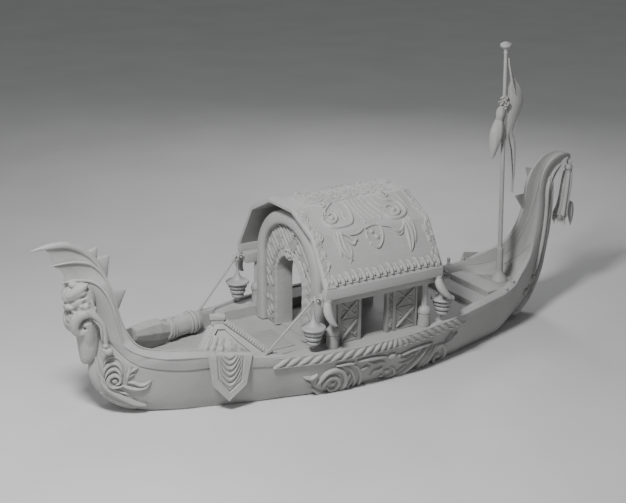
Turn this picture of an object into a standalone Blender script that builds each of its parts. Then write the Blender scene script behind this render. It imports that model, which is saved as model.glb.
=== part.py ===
"""Dragon boat with an arched cabin: metres, +X bow, +Y port, +Z up, origin on the
centreline at the waterline, below the middle of the cabin."""
import math

import bmesh
import bpy
from mathutils import Matrix, Vector

for old in list(bpy.data.objects):
    bpy.data.objects.remove(old, do_unlink=True)

GAP = 0.0004
FLOOR_Z = 0.72
SIDE_DECK_Z = 0.930
POST_X = 1.097
POST_Y = 1.450
BEAM_LOW_Z = 1.846
BEAM_TOP_Z = 2.056
EAVE_LOW_Z = 2.020
ROOF_FRONT_X = 1.42
ROOF_REAR_X = -1.344
WALL_X = 1.10
LANTERN_Y = 1.484
LANTERN_FORE_X = 1.555
LANTERN_AFT_X = -1.531
LANTERN_RIM_Z = 1.435
HANG_Z = 1.930
MAST_X = -4.26
MAST_RAKE = math.radians(1.7)
STERN_DECK_Z = 0.84

# x, half breadth at the rail, rail z, half breadth at the bilge, bilge z, keel z
HULL = (
    (-5.40, 0.05, 0.72, 0.04, 0.69, 0.67),
    (-5.19, 0.20, 0.72, 0.10, 0.44, 0.36),
    (-4.95, 0.36, 0.72, 0.20, 0.28, 0.15),
    (-4.65, 0.52, 0.72, 0.32, 0.13, 0.00),
    (-4.20, 0.74, 0.72, 0.50, 0.00, -0.10),
    (-3.60, 0.98, 0.72, 0.72, -0.08, -0.17),
    (-2.80, 1.24, 0.72, 0.96, -0.14, -0.23),
    (-1.80, 1.52, 0.72, 1.22, -0.18, -0.27),
    (-0.60, 1.73, 0.72, 1.40, -0.21, -0.30),
    (0.60, 1.74, 0.72, 1.42, -0.21, -0.30),
    (1.80, 1.54, 0.72, 1.26, -0.19, -0.29),
    (2.80, 1.25, 0.72, 1.02, -0.16, -0.26),
    (3.60, 1.00, 0.72, 0.80, -0.12, -0.21),
    (4.20, 0.82, 0.72, 0.60, -0.06, -0.15),
    (4.70, 0.58, 0.72, 0.38, 0.00, -0.06),
    (5.00, 0.40, 0.77, 0.24, 0.16, 0.07),
    (5.28, 0.22, 0.87, 0.14, 0.40, 0.31),
    (5.48, 0.10, 0.96, 0.07, 0.70, 0.62),
    (5.56, 0.04, 0.99, 0.03, 0.90, 0.86),
)

# x, outer half breadth at the floor, at the rail, rail z, inboard rise of the shoulder
SIDE = (
    (-4.16, 0.765, 0.800, 1.20, 0.02),
    (-3.90, 0.890, 0.945, 1.07, 0.06),
    (-3.50, 1.035, 1.085, 1.00, 0.06),
    (-2.80, 1.255, 1.290, 0.97, 0.05),
    (-2.20, 1.430, 1.470, 0.965, 0.03),
    (-2.00, 1.485, 1.525, 0.965, 0.0),
    (-1.20, 1.640, 1.690, 0.965, 0.0),
    (-0.40, 1.760, 1.815, 0.965, 0.0),
    (0.60, 1.760, 1.815, 0.970, 0.0),
    (1.10, 1.710, 1.780, 0.980, 0.0),
    (1.60, 1.615, 1.680, 0.985, 0.0),
    (2.05, 1.485, 1.540, 0.985, 0.0),
    (2.25, 1.425, 1.490, 0.99, 0.03),
    (3.10, 1.175, 1.250, 1.06, 0.07),
    (3.60, 1.020, 1.060, 1.13, 0.08),
    (4.10, 0.880, 0.960, 1.18, 0.08),
    (4.45, 0.730, 0.780, 1.20, 0.08),
    (4.66, 0.610, 0.650, 1.24, 0.06),
)

# inboard edge x z, half thickness there, outboard edge x z, half thickness there
BLADE = (
    (4.70, 0.7212, 0.560, 5.56, 1.010, 0.050),
    (4.70, 0.99, 0.590, 5.565, 1.07, 0.060),
    (4.72, 1.27, 0.590, 5.46, 1.30, 0.060),
    (4.96, 1.52, 0.380, 5.38, 1.52, 0.080),
    (5.00, 1.88, 0.290, 5.34, 1.80, 0.090),
    (5.03, 2.20, 0.230, 5.42, 2.15, 0.080),
    (5.11, 2.52, 0.190, 5.55, 2.44, 0.060),
    (5.21, 2.80, 0.150, 5.72, 2.67, 0.045),
    (5.34, 3.06, 0.120, 5.93, 2.74, 0.035),
    (5.50, 3.27, 0.100, 5.95, 2.90, 0.030),
    (5.67, 3.41, 0.080, 6.13, 3.09, 0.030),
    (5.86, 3.48, 0.065, 6.17, 3.22, 0.025),
    (6.10, 3.49, 0.050, 6.30, 3.36, 0.020),
    (6.52, 3.43, 0.014, 6.54, 3.41, 0.012),
)

# forward edge x z, half width, aft face x z, wall
STERN = (
    (-4.165, 0.7204, 0.780, -5.41, 0.7204, 0.070),
    (-4.165, 0.92, 0.785, -5.43, 0.92, 0.070),
    (-4.165, 1.20, 0.800, -5.47, 1.20, 0.070),
    (-4.62, 1.46, 0.560, -5.51, 1.46, 0.070),
    (-4.89, 1.83, 0.390, -5.57, 1.81, 0.070),
    (-5.04, 2.32, 0.310, -5.61, 2.32, 0.065),
    (-5.03, 2.85, 0.305, -5.60, 2.80, 0.060),
    (-5.15, 3.25, 0.270, -5.61, 3.05, 0.055),
    (-5.41, 3.49, 0.215, -5.72, 3.26, 0.050),
    (-5.74, 3.57, 0.150, -5.89, 3.40, 0.040),
    (-6.10, 3.52, 0.070, -6.12, 3.43, 0.025),
)

ARCH_INNER_HALF = 1.00
ARCH_SPRING_Z = 2.15
DOOR_HALF = 0.48
DOOR_SPRING_Z = 1.86
DOOR_TOP_Z = 2.36

# half width, z of the five-sided roof
ROOF = ((1.705, 2.202), (1.162, 3.129), (0.436, 3.496))

# low carving of the roof boards: half width, height, then (x, distance up from the eave)
LOWER_CARVING = [
    (0.085, 0.020, ((1.305, 0.05), (1.305, 1.03))),
    (0.065, 0.020, ((-1.262, 0.05), (-1.262, 1.03))),
    (0.060, 0.020, ((0.80, 1.03), (0.65, 0.50))),
    (0.060, 0.020, ((-0.75, 1.03), (-0.70, 0.46))),
    (0.030, 0.018, ((0.18, 1.02), (-0.14, 1.02), (-0.15, 0.84), (0.01, 0.66), (0.16, 0.80), (0.18, 0.96))),
    (0.026, 0.018, ((0.64, 0.99), (0.30, 1.00))),
    (0.030, 0.018, ((-0.24, 1.00), (-0.50, 0.91), (-0.63, 0.92))),
] + [(0.046, 0.030, ((1.165 - 0.1613 * k, 0.10), (1.24 - 0.1613 * k, 0.31))) for k in range(16)]
UPPER_CARVING = [
    (0.085, 0.020, ((1.305, 1.12), (1.305, 1.85))),
    (0.065, 0.020, ((-1.262, 1.12), (-1.262, 1.85))),
    (0.032, 0.022, ((0.83, 1.65), (0.94, 1.42), (0.86, 1.25), (0.62, 1.21), (0.40, 1.26), (0.28, 1.48), (0.28, 1.84))),
    (0.026, 0.022, ((0.69, 1.60), (0.61, 1.53), (0.66, 1.41), (0.79, 1.34))),
    (0.026, 0.022, ((0.14, 1.84), (0.12, 1.55), (0.05, 1.20))),
    (0.026, 0.022, ((-0.06, 1.84), (-0.10, 1.55), (-0.20, 1.23))),
    (0.026, 0.022, ((-0.24, 1.84), (-0.30, 1.56), (-0.36, 1.30))),
    (0.032, 0.022, ((-0.51, 1.84), (-0.58, 1.76), (-0.80, 1.65), (-0.92, 1.50), (-0.88, 1.27), (-0.72, 1.18),
                    (-0.52, 1.18))),
    (0.026, 0.022, ((-0.57, 1.50), (-0.74, 1.50), (-0.79, 1.36), (-0.70, 1.27))),
]
CROWN_CARVING = [
    (0.030, 0.022, ((0.80, 1.95), (-0.10, 1.96))),
    (0.034, 0.022, ((1.02, 2.07), (0.58, 2.07))),
] + [(0.072, 0.022, ((0.90 - 0.42 * k, 2.25), (0.90 - 0.42 * k, 2.08))) for k in range(5)]

# centre line of the bolster roll and its radius
ROLL = (
    (4.29, -0.62, 1.12, 0.15),
    (3.90, -0.80, 1.05, 0.225),
    (3.52, -0.93, 0.96, 0.225),
    (3.38, -0.97, 0.937, 0.215),
    (3.10, -1.01, 0.945, 0.21),
    (2.85, -1.05, 0.958, 0.235),
    (2.68, -1.08, 0.955, 0.20),
)

# raised floorboards of the cabin and of the well forward of it
SOLES = (
    ((-1.09, -1.16, 0.66), (1.09, 1.16, 0.745)),
    ((1.42, -0.34, 0.66), (3.60, 0.60, 0.745)),
)

CORNERS = (
    ("fore_port", 1, 1),
    ("fore_starboard", 1, -1),
    ("aft_port", -1, 1),
    ("aft_starboard", -1, -1),
)
SIDES = (("port", 1), ("starboard", -1))

boat = bpy.data.collections.new("dragon_boat")
bpy.context.scene.collection.children.link(boat)


def material(name, colour, roughness, metallic=0.0):
    made = bpy.data.materials.new(name)
    made.use_nodes = True
    shader = made.node_tree.nodes["Principled BSDF"]
    shader.inputs["Base Color"].default_value = (*colour, 1.0)
    shader.inputs["Roughness"].default_value = roughness
    shader.inputs["Metallic"].default_value = metallic
    return made


TONES = {
    "wood": ((0.46, 0.46, 0.45), 0.62, 0.0),
    "carved": ((0.50, 0.50, 0.49), 0.58, 0.0),
    "metal": ((0.44, 0.44, 0.45), 0.45, 0.6),
    "cloth": ((0.52, 0.52, 0.51), 0.85, 0.0),
    "rope": ((0.50, 0.49, 0.47), 0.90, 0.0),
    "bamboo": ((0.42, 0.42, 0.41), 0.66, 0.0),
}


def finish_object(obj, tone, smooth=False):
    colour, rough, metal = TONES[tone]
    obj.data.materials.clear()
    obj.data.materials.append(material(obj.name + "_" + tone, colour, rough, metal))
    for face in obj.data.polygons:
        face.use_smooth = smooth
    for home in list(obj.users_collection):
        home.objects.unlink(obj)
    boat.objects.link(obj)
    return obj


def from_bmesh(name, bm):
    bmesh.ops.recalc_face_normals(bm, faces=bm.faces)
    mesh = bpy.data.meshes.new(name)
    bm.to_mesh(mesh)
    bm.free()
    obj = bpy.data.objects.new(name, mesh)
    bpy.context.scene.collection.objects.link(obj)
    return obj


def loft(name, rings):
    """Closed rings of equal length joined into one closed body."""
    bm = bmesh.new()
    rows = [[bm.verts.new(p) for p in ring] for ring in rings]
    count = len(rows[0])
    for a, b in zip(rows, rows[1:]):
        for i in range(count):
            j = (i + 1) % count
            bm.faces.new((a[i], a[j], b[j], b[i]))
    bm.faces.new(list(reversed(rows[0])))
    bm.faces.new(rows[-1])
    bmesh.ops.triangulate(bm, faces=bm.faces[:])
    return from_bmesh(name, bm)


def block(name, low, high, bevel=0.0):
    bm = bmesh.new()
    bmesh.ops.create_cube(bm, size=1.0)
    size = Vector(high) - Vector(low)
    middle = (Vector(high) + Vector(low)) / 2
    bmesh.ops.scale(bm, vec=size, verts=bm.verts)
    bmesh.ops.translate(bm, vec=middle, verts=bm.verts)
    if bevel:
        bmesh.ops.bevel(bm, geom=bm.edges[:], offset=bevel, segments=1, affect="EDGES")
    return from_bmesh(name, bm)


def applied(obj):
    """The object's evaluated mesh as a plain mesh object of the same name."""
    graph = bpy.context.evaluated_depsgraph_get()
    mesh = bpy.data.meshes.new_from_object(obj.evaluated_get(graph))
    mesh.transform(obj.matrix_world)
    name = obj.name
    bpy.data.objects.remove(obj, do_unlink=True)
    bm = bmesh.new()
    bm.from_mesh(mesh)
    bmesh.ops.remove_doubles(bm, verts=bm.verts, dist=0.00005)
    mesh.name = name
    out = from_bmesh(name, bm)
    out.name = name
    return out


def turned(name, profile, where, steps=24):
    """A profile of (radius, height) turned about the vertical line through where."""
    mesh = bpy.data.meshes.new(name)
    verts = [(r, 0.0, z) for r, z in profile]
    mesh.from_pydata(verts, [(i, i + 1) for i in range(len(verts) - 1)], [])
    obj = bpy.data.objects.new(name, mesh)
    bpy.context.scene.collection.objects.link(obj)
    screw = obj.modifiers.new("turn", "SCREW")
    screw.axis = "Z"
    screw.angle = math.tau
    screw.steps = steps
    screw.render_steps = steps
    screw.use_merge_vertices = True
    screw.merge_threshold = 0.0001
    obj.location = where
    bpy.context.view_layer.update()
    return applied(obj)


def plate(name, outline, plane, start, end):
    """A flat outline given in two axes, made thick along the third from start to end."""
    curve = bpy.data.curves.new(name, "CURVE")
    curve.dimensions = "2D"
    curve.fill_mode = "BOTH"
    curve.extrude = abs(end - start) / 2
    spline = curve.splines.new("POLY")
    spline.points.add(len(outline) - 1)
    for point, (u, v) in zip(spline.points, outline):
        point.co = (u, v, 0.0, 1.0)
    spline.use_cyclic_u = True
    obj = bpy.data.objects.new(name, curve)
    bpy.context.scene.collection.objects.link(obj)
    middle = (start + end) / 2
    if plane == "XZ":
        obj.matrix_world = Matrix(((1, 0, 0, 0), (0, 0, -1, middle), (0, 1, 0, 0), (0, 0, 0, 1)))
    elif plane == "YZ":
        obj.matrix_world = Matrix(((0, 0, 1, middle), (1, 0, 0, 0), (0, 1, 0, 0), (0, 0, 0, 1)))
    else:
        obj.matrix_world = Matrix.Translation((0, 0, middle))
    bpy.context.view_layer.update()
    return applied(obj)


def tube(name, points, radius, resolution=2, radii=None):
    curve = bpy.data.curves.new(name, "CURVE")
    curve.dimensions = "3D"
    curve.bevel_depth = radius
    curve.bevel_resolution = resolution
    curve.use_fill_caps = True
    spline = curve.splines.new("POLY")
    spline.points.add(len(points) - 1)
    for index, (point, where) in enumerate(zip(spline.points, points)):
        point.co = (*where, 1.0)
        if radii:
            point.radius = radii[index] / radius
    obj = bpy.data.objects.new(name, curve)
    bpy.context.scene.collection.objects.link(obj)
    bpy.context.view_layer.update()
    return applied(obj)


def combine(target, others, operation="UNION"):
    """Boolean the others into the target and keep one closed mesh."""
    for other in others:
        cut = target.modifiers.new("join", "BOOLEAN")
        cut.operation = operation
        cut.solver = "EXACT"
        cut.object = other
        bpy.context.view_layer.update()
        target = applied(target)
        bpy.data.objects.remove(other, do_unlink=True)
    return target


def carve(target, neighbour, gap=0.0003):
    """Cut the neighbour, grown by the gap, out of the target."""
    grown = neighbour.data.copy()
    grown.transform(neighbour.matrix_world)
    bm = bmesh.new()
    bm.from_mesh(grown)
    bm.normal_update()
    moves = [v.normal * gap * 1.4 for v in bm.verts]
    for vertex, move in zip(bm.verts, moves):
        vertex.co += move
    tool = from_bmesh(target.name + "_cut", bm)
    return largest_body(combine(target, [tool], "DIFFERENCE"))


def largest_body(obj):
    """Drop the slivers a cut leaves and keep the one main body."""
    bm = bmesh.new()
    bm.from_mesh(obj.data)
    groups = []
    seen = set()
    for seed in bm.verts:
        if seed in seen:
            continue
        group = []
        stack = [seed]
        while stack:
            vertex = stack.pop()
            if vertex in seen:
                continue
            seen.add(vertex)
            group.append(vertex)
            stack += [edge.other_vert(vertex) for edge in vertex.link_edges]
        groups.append(group)
    groups.sort(key=len)
    for group in groups[:-1]:
        bmesh.ops.delete(bm, geom=group, context="VERTS")
    bm.to_mesh(obj.data)
    bm.free()
    return obj


def along(table, x, column):
    for a, b in zip(table, table[1:]):
        if a[0] <= x <= b[0]:
            t = (x - a[0]) / (b[0] - a[0])
            return a[column] + t * (b[column] - a[column])
    return table[0][column] if x < table[0][0] else table[-1][column]


def hull():
    rings = []
    for x, b, zt, bb, zb, zk in HULL:
        zm = zb + (zt - zb) * 0.55
        bm_ = bb + (b - bb) * 0.72
        zl = zk + (zb - zk) * 0.25
        bl = bb * 0.72
        port = [(x, 0.0, zk), (x, bl, zl), (x, bb, zb), (x, bm_, zm), (x, b, zt)]
        back = [(x, -y, z) for x, y, z in reversed(port[1:])]
        rings.append(port + back)
    soles = [block("sole_%d" % number, low, high) for number, (low, high) in enumerate(SOLES)]
    return finish_object(combine(loft("hull", rings), soles), "wood", False)


def bulwark(name, sign):
    """Side with a wide shoulder at the wells and a flat side deck beside the cabin."""
    rings = []
    for x, low, out, z, rise in SIDE:
        if rise:
            inner = [(out - 0.19, z + rise), (out - 0.22, z + rise - 0.01), (out - 0.25, z - 0.06),
                     (out - 0.25, FLOOR_Z + GAP)]
        else:
            inner = [(out - 0.06, z), (out - 0.08, SIDE_DECK_Z), (1.22, SIDE_DECK_Z), (1.22, FLOOR_Z + GAP)]
        outer = [(low, FLOOR_Z + GAP), (out - 0.008, FLOOR_Z + 0.10), (out, z - 0.03), (out - 0.03, z)]
        rings.append([(x, sign * y, h) for y, h in outer + inner])
    return finish_object(loft(name, rings), "wood", False)


def blade():
    rings = []
    for px, pz, pt, qx, qz, qt in BLADE:
        mx = px * 0.45 + qx * 0.55
        mz = pz * 0.45 + qz * 0.55
        mt = pt * 0.45 + qt * 0.55
        rings.append([
            (px, 0.0, pz),
            (px, pt * 0.75, pz),
            (px * 0.9 + qx * 0.1, pt, pz * 0.9 + qz * 0.1),
            (mx, mt, mz),
            (qx, qt, qz),
            (qx, -qt, qz),
            (mx, -mt, mz),
            (px * 0.9 + qx * 0.1, -pt, pz * 0.9 + qz * 0.1),
            (px, -pt * 0.75, pz),
        ])
    body = loft("stem_fan", rings)
    spikes = []
    table = (
        ((5.33, 3.08), (5.28, 3.36), (5.52, 3.26)),
        ((5.06, 2.72), (5.02, 3.13), (5.32, 3.02)),
        ((4.97, 2.10), (4.82, 2.44), (5.10, 2.46)),
    )
    for number, (low, tip, top) in enumerate(table):
        inside = (low[0] + 0.14, low[1] + 0.05)
        inside_top = (top[0] + 0.12, top[1] - 0.08)
        spikes.append(plate("spike_%d" % number, (low, tip, top, inside_top, inside), "XZ", -0.03, 0.03))
    return finish_object(combine(body, spikes), "carved", False)


def mask(stem):
    """The carved head on the fore edge of the stem, one turned-back volume."""
    rings = []
    table = (
        (5.545, 0.99, 5.60, 0.03),
        (5.50, 1.10, 5.72, 0.10),
        (5.47, 1.28, 5.86, 0.20),
        (5.44, 1.52, 5.98, 0.27),
        (5.43, 1.80, 6.04, 0.30),
        (5.45, 2.05, 6.06, 0.30),
        (5.49, 2.25, 6.03, 0.28),
        (5.60, 2.45, 5.96, 0.22),
        (5.72, 2.60, 5.88, 0.12),
    )
    for back, z, front, half in table:
        middle = (back + front) / 2
        rings.append([
            (back, -half * 0.7, z),
            (middle, -half, z),
            (front - 0.03, -half * 0.6, z),
            (front, 0.0, z),
            (front - 0.03, half * 0.6, z),
            (middle, half, z),
            (back, half * 0.7, z),
        ])
    return finish_object(carve(loft("dragon_mask", rings), stem), "carved", True)


def whisker(name, sign, head, stem):
    path = ((5.66, 0.18, 2.12), (5.46, 0.33, 2.06), (5.36, 0.37, 1.92), (5.33, 0.37, 1.70), (5.28, 0.35, 1.45))
    points = [(x, sign * y, z) for x, y, z in path]
    body = tube(name, points, 0.035, 1)
    ball = turned(name + "_ball", ((0.0, 0.09), (0.05, 0.08), (0.085, 0.0), (0.05, -0.08), (0.0, -0.09)),
                  (5.27, sign * 0.35, 1.37), 10)
    body = carve(carve(combine(body, [ball]), head), stem)
    return finish_object(body, "carved", True)


def side_y(x, z):
    """Half breadth of the hull's outer side at a height."""
    b = along(HULL, x, 1)
    zt = along(HULL, x, 2)
    bb = along(HULL, x, 3)
    zb = along(HULL, x, 4)
    bm_ = bb + (b - bb) * 0.72
    zm = zb + (zt - zb) * 0.55
    if z >= zt:
        return b
    if z >= zm:
        return bm_ + (b - bm_) * (z - zm) / (zt - zm)
    if z >= zb:
        return bb + (bm_ - bb) * (z - zb) / (zm - zb)
    return bb


def relief(name, sign, rows, thick):
    """A strip of carving laid on the hull's side: rows of x, lower z, upper z."""
    rings = []
    for x, low, high in rows:
        middle = (low + high) / 2
        ring = []
        for z, lift in ((low, -0.03), (middle, -0.03), (high, -0.03), (high - 0.01, thick),
                        (middle, thick * 1.25), (low + 0.01, thick)):
            ring.append((x, sign * (side_y(x, z) + lift), z))
        rings.append(ring)
    return loft(name, rings)


def forefoot_carving(name, sign, shell):
    rows = ((4.45, 0.30, 0.42), (4.62, 0.22, 0.52), (4.80, 0.26, 0.60), (4.98, 0.34, 0.66),
            (5.14, 0.44, 0.70), (5.28, 0.56, 0.78), (5.38, 0.66, 0.84))
    return finish_object(carve(relief(name, sign, rows, 0.05), shell), "carved", False)


def midship_carving(name, sign, shell):
    rows = ((-1.66, 0.50, 0.60), (-1.30, 0.22, 0.60), (-1.00, 0.14, 0.60), (-0.50, 0.08, 0.60),
            (0.00, 0.04, 0.60), (0.50, 0.04, 0.58), (1.00, 0.04, 0.56), (1.40, 0.10, 0.54),
            (1.66, 0.22, 0.50), (1.86, 0.36, 0.46))
    return finish_object(carve(relief(name, sign, rows, 0.06), shell), "carved", False)


def rope_moulding(name, sign, side):
    rings = []
    for step in range(12):
        x = -2.2 + step * 4.6 / 11
        out = along(SIDE, x, 2) + GAP
        rings.append([
            (x, sign * (out - 0.03), 0.765),
            (x, sign * (out + 0.035), 0.785),
            (x, sign * (out + 0.045), 0.85),
            (x, sign * (out + 0.035), 0.915),
            (x, sign * (out - 0.03), 0.935),
        ])
    return finish_object(carve(loft(name, rings), side), "carved", False)


def horseshoe(edge_x, aft_x, half, wall, steps=8):
    """Points (x, y) round a wall open to the bow: outer side then inner side."""
    outer = []
    inner = []
    for k in range(steps + 1):
        a = math.pi * k / steps
        outer.append((edge_x + (aft_x - edge_x) * math.sin(a) ** 0.8, half * math.cos(a)))
        inner.append((edge_x + (aft_x + wall * 1.6 - edge_x) * math.sin(a) ** 0.8,
                      (half - wall) * math.cos(a)))
    return outer + list(reversed(inner))


def stern():
    rings = []
    for px, pz, half, qx, qz, wall in STERN:
        ring = []
        for x, y in horseshoe(px, qx, half, wall):
            t = (x - px) / (qx - px)
            ring.append((x, y, pz + t * (qz - pz)))
        rings.append(ring)
    body = loft("stern_spoon", rings)
    spikes = [
        plate("stern_spike_0", ((-5.05, 2.90), (-5.03, 3.275), (-5.26, 3.27), (-5.22, 3.0)), "XZ", -0.285, -0.255),
        plate("stern_spike_1", ((-5.01, 2.30), (-4.81, 2.65), (-5.03, 2.65), (-5.10, 2.40)), "XZ", -0.295, -0.265),
    ]
    return finish_object(combine(body, spikes), "carved", False)


def feathers(name, sign, spoon):
    rings = []
    table = ((-5.06, 0.68, 0.36), (-5.12, 1.05, 0.35), (-5.18, 1.50, 0.30), (-5.26, 2.00, 0.235),
             (-5.33, 2.50, 0.20), (-5.36, 2.90, 0.185))
    for x, z, y in table:
        rings.append([
            (x + 0.10, sign * (y + 0.02), z),
            (x + 0.08, sign * (y + 0.10), z),
            (x - 0.08, sign * (y + 0.085), z),
            (x - 0.22, sign * (y - 0.02), z),
            (x - 0.16, sign * (y - 0.06), z),
        ])
    return finish_object(carve(loft(name, rings), spoon), "carved")


def post(name, fore, side):
    profile = ((0.0, BEAM_LOW_Z - GAP), (0.065, BEAM_LOW_Z - GAP), (0.064, 1.40), (0.075, 1.33),
               (0.125, 1.27), (0.135, 1.22), (0.125, 1.19), (0.118, 1.18), (0.130, SIDE_DECK_Z + GAP),
               (0.0, SIDE_DECK_Z + GAP))
    return finish_object(turned(name, profile, (fore * POST_X, side * POST_Y, 0.0)), "wood", True)


def beam(name, side):
    ys = sorted((side * 1.36, side * 1.56))
    low = (ROOF_REAR_X + 0.02, ys[0], BEAM_LOW_Z)
    return finish_object(block(name, low, (1.40, ys[1], BEAM_TOP_Z), 0.008), "wood")


def strip(name, ring, tone="wood"):
    """A straight panel of the roof's length with the given section in y and z."""
    rings = [[(x, y, z) for y, z in ring] for x in (ROOF_REAR_X, ROOF_FRONT_X)]
    return finish_object(loft(name, rings), tone)


def past(edge, gap):
    """The panel edge (inner point, outer point) moved square to itself towards the crown."""
    run = Vector(edge[1]) - Vector(edge[0])
    step = Vector((-run.y, run.x)).normalized() * gap
    return [Vector(point) + step for point in edge]


def roof_point(x, d, up):
    """Place on the port half of the roof: d runs from the eave up to the ridge, up stands off it."""
    for foot, head in ((ROOF[0], ROOF[1]), (ROOF[1], ROOF[2]), (ROOF[2], (0.0, ROOF[2][1]))):
        run = Vector(head) - Vector(foot)
        if d <= run.length or head[0] == 0.0:
            break
        d -= run.length
    run.normalize()
    y, z = Vector(foot) + run * d + Vector((run.y, -run.x)) * up
    return x, y, z


def raised(board, sign, bars):
    """Add low carved bars to a roof board; each bar is its half width, height and (x, d) points."""
    for half, height, points in bars:
        rings = []
        last = len(points) - 1
        for k, (x, d) in enumerate(points):
            before = points[max(k - 1, 0)]
            after = points[min(k + 1, last)]
            run = Vector((after[0] - before[0], after[1] - before[1])).normalized()
            ring = []
            for s, up in ((-1.0, -0.012), (-0.6, height), (0.6, height), (1.0, -0.012)):
                px, py, pz = roof_point(x - run.y * half * s, d + run.x * half * s, up)
                ring.append((px, sign * py, pz))
            rings.append(ring)
        board = combine(board, [loft("bar", rings)])
    return board


def roof():
    """Five panels, each a board with low carving, on a fascia board along each eave beam."""
    low = ((1.60, ROOF[0][1] + GAP), (ROOF[0][0], ROOF[0][1] + GAP))
    middle = ((1.105, 3.065), ROOF[1])
    high = ((0.415, 3.425), ROOF[2])
    after_middle = past(middle, GAP)
    after_high = past(high, GAP)
    for word, sign in SIDES:
        fascia = ((1.5604, EAVE_LOW_Z), (ROOF[0][0], EAVE_LOW_Z), ROOF[0], (1.5604, ROOF[0][1]))
        strip("roof_fascia_" + word, [(sign * y, z) for y, z in fascia])
        lower = (low[0], low[1], middle[1], middle[0])
        raised(strip("roof_lower_" + word, [(sign * y, z) for y, z in lower]), sign, LOWER_CARVING)
        upper = (after_middle[0], after_middle[1], high[1], high[0])
        raised(strip("roof_upper_" + word, [(sign * y, z) for y, z in upper]), sign, UPPER_CARVING)
    half = [tuple(point) for point in after_high]
    crown = strip("roof_crown", [half[0], half[1], (-half[1][0], half[1][1]), (-half[0][0], half[0][1])])
    crown = raised(crown, 1, [(0.115, 0.024, ((1.10, 2.3226), (-1.06, 2.3226)))])
    for word, sign in SIDES:
        crown = raised(crown, sign, CROWN_CARVING)


def arch_line(half, spring, top, low, count=14):
    points = [(-half, low), (-half, spring)]
    for k in range(1, count):
        a = math.pi - math.pi * k / count
        points.append((half * math.cos(a), spring + (top - spring) * math.sin(a)))
    points += [(half, spring), (half, low)]
    return points


def end_wall(name, fore):
    """Arched end of the cabin: a fat ring round a thinner panel with the door in it."""
    lower = [(-1.205, FLOOR_Z + GAP), (-1.205, BEAM_LOW_Z), (-1.34, BEAM_LOW_Z + 0.01), (-1.34, 2.14),
             (-1.57, 2.215), (-1.085, 3.035), (-0.40, 3.395)]
    outline = lower + [(-y, z) for y, z in reversed(lower)]
    door = arch_line(DOOR_HALF, DOOR_SPRING_Z, DOOR_TOP_Z, FLOOR_Z + GAP)
    shape = list(reversed(outline)) + door
    panel = plate(name, shape, "YZ", fore * WALL_X, fore * (WALL_X + 0.07))
    ring_out = arch_line(1.19, 2.2, 3.30, FLOOR_Z + GAP, 16)
    ring_in = arch_line(ARCH_INNER_HALF, ARCH_SPRING_Z, 3.08, FLOOR_Z + GAP, 16)
    ring = plate(name + "_ring", list(reversed(ring_out)) + ring_in, "YZ", fore * (WALL_X + 0.01),
                 fore * (WALL_X + 0.20))
    return finish_object(combine(panel, [ring]), "wood")


def screen(name, side):
    """Lattice panels fore and aft of an open side doorway, on a common top and bottom rail."""
    low = SIDE_DECK_Z + GAP
    top = BEAM_LOW_Z - GAP
    outline = ((-0.955, low), (-0.955, top), (0.955, top), (0.955, low),
               (0.40, low), (0.40, top - 0.05), (-0.20, top - 0.05), (-0.20, low))
    ys = sorted((side * 1.30, side * 1.40))
    body = plate(name, outline, "XZ", ys[0], ys[1])
    bars = []
    for x0, x1 in ((0.46, 0.90), (-0.90, -0.26)):
        for z0 in (1.00, 1.40):
            for flip in (0, 1):
                a = (x0, z0 + 0.36) if flip else (x0, z0)
                b = (x1, z0) if flip else (x1, z0 + 0.36)
                run = Vector((b[0] - a[0], 0, b[1] - a[1])).normalized()
                up = Vector((-run.z, 0, run.x)) * 0.02
                line = ((a[0] - up.x, a[1] - up.z), (b[0] - up.x, b[1] - up.z),
                        (b[0] + up.x, b[1] + up.z), (a[0] + up.x, a[1] + up.z))
                outs = sorted((side * 1.39, side * (1.415 + 0.003 * flip)))
                bars.append(plate(name + "_bar", line, "XZ", outs[0], outs[1]))
    return finish_object(combine(body, bars), "bamboo")


def tusk(name, fore, side):
    x = 1.34 if fore > 0 else -1.27
    lean = -0.13 if fore > 0 else -0.28
    points = ((x, 1.640, EAVE_LOW_Z - GAP), (x, 1.640, 1.98), (x + lean * 0.05, 1.655, 1.88),
              (x + lean * 0.22, 1.690, 1.76), (x + lean * 0.55, 1.745, 1.63), (x + lean, 1.82, 1.52))
    radii = (0.055, 0.06, 0.085, 0.085, 0.055, 0.012)
    points = [(px, side * py, pz) for px, py, pz in points]
    return finish_object(tube(name, points, 0.09, 3, radii), "carved", True)


def lantern(name, fore, side):
    z = LANTERN_RIM_Z
    profile = ((0.0, HANG_Z + 0.014), (0.010, HANG_Z + 0.010), (0.014, HANG_Z), (0.010, HANG_Z - 0.012),
               (0.016, HANG_Z - 0.03), (0.022, z + 0.36), (0.05, z + 0.22), (0.10, z + 0.09),
               (0.235, z + 0.03), (0.245, z), (0.20, z - 0.05), (0.165, z - 0.07), (0.180, z - 0.12),
               (0.165, z - 0.17), (0.12, z - 0.19), (0.125, z - 0.28), (0.08, z - 0.30),
               (0.085, z - 0.37), (0.04, z - 0.40), (0.0, z - 0.41))
    x = LANTERN_FORE_X if fore > 0 else LANTERN_AFT_X
    obj = finish_object(turned(name, profile, (x, side * LANTERN_Y, 0.0), 20), "metal", True)
    pivot = Vector((x, side * LANTERN_Y, HANG_Z))
    obj.data.transform(Matrix.Translation(-pivot))
    obj.location = pivot
    return obj


def bracket(name, fore, side):
    """Arm under the eave beam's end that carries the lantern's hook."""
    x = LANTERN_FORE_X if fore > 0 else LANTERN_AFT_X
    inner = 1.4004 if fore > 0 else ROOF_REAR_X + 0.02 - 0.0004
    xs = sorted((inner, x + fore * 0.05))
    ys = (side * LANTERN_Y - 0.05, side * LANTERN_Y + 0.05)
    return finish_object(block(name, (xs[0], ys[0], HANG_Z + 0.0145), (xs[1], ys[1], HANG_Z + 0.09), 0.006), "wood")


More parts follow.
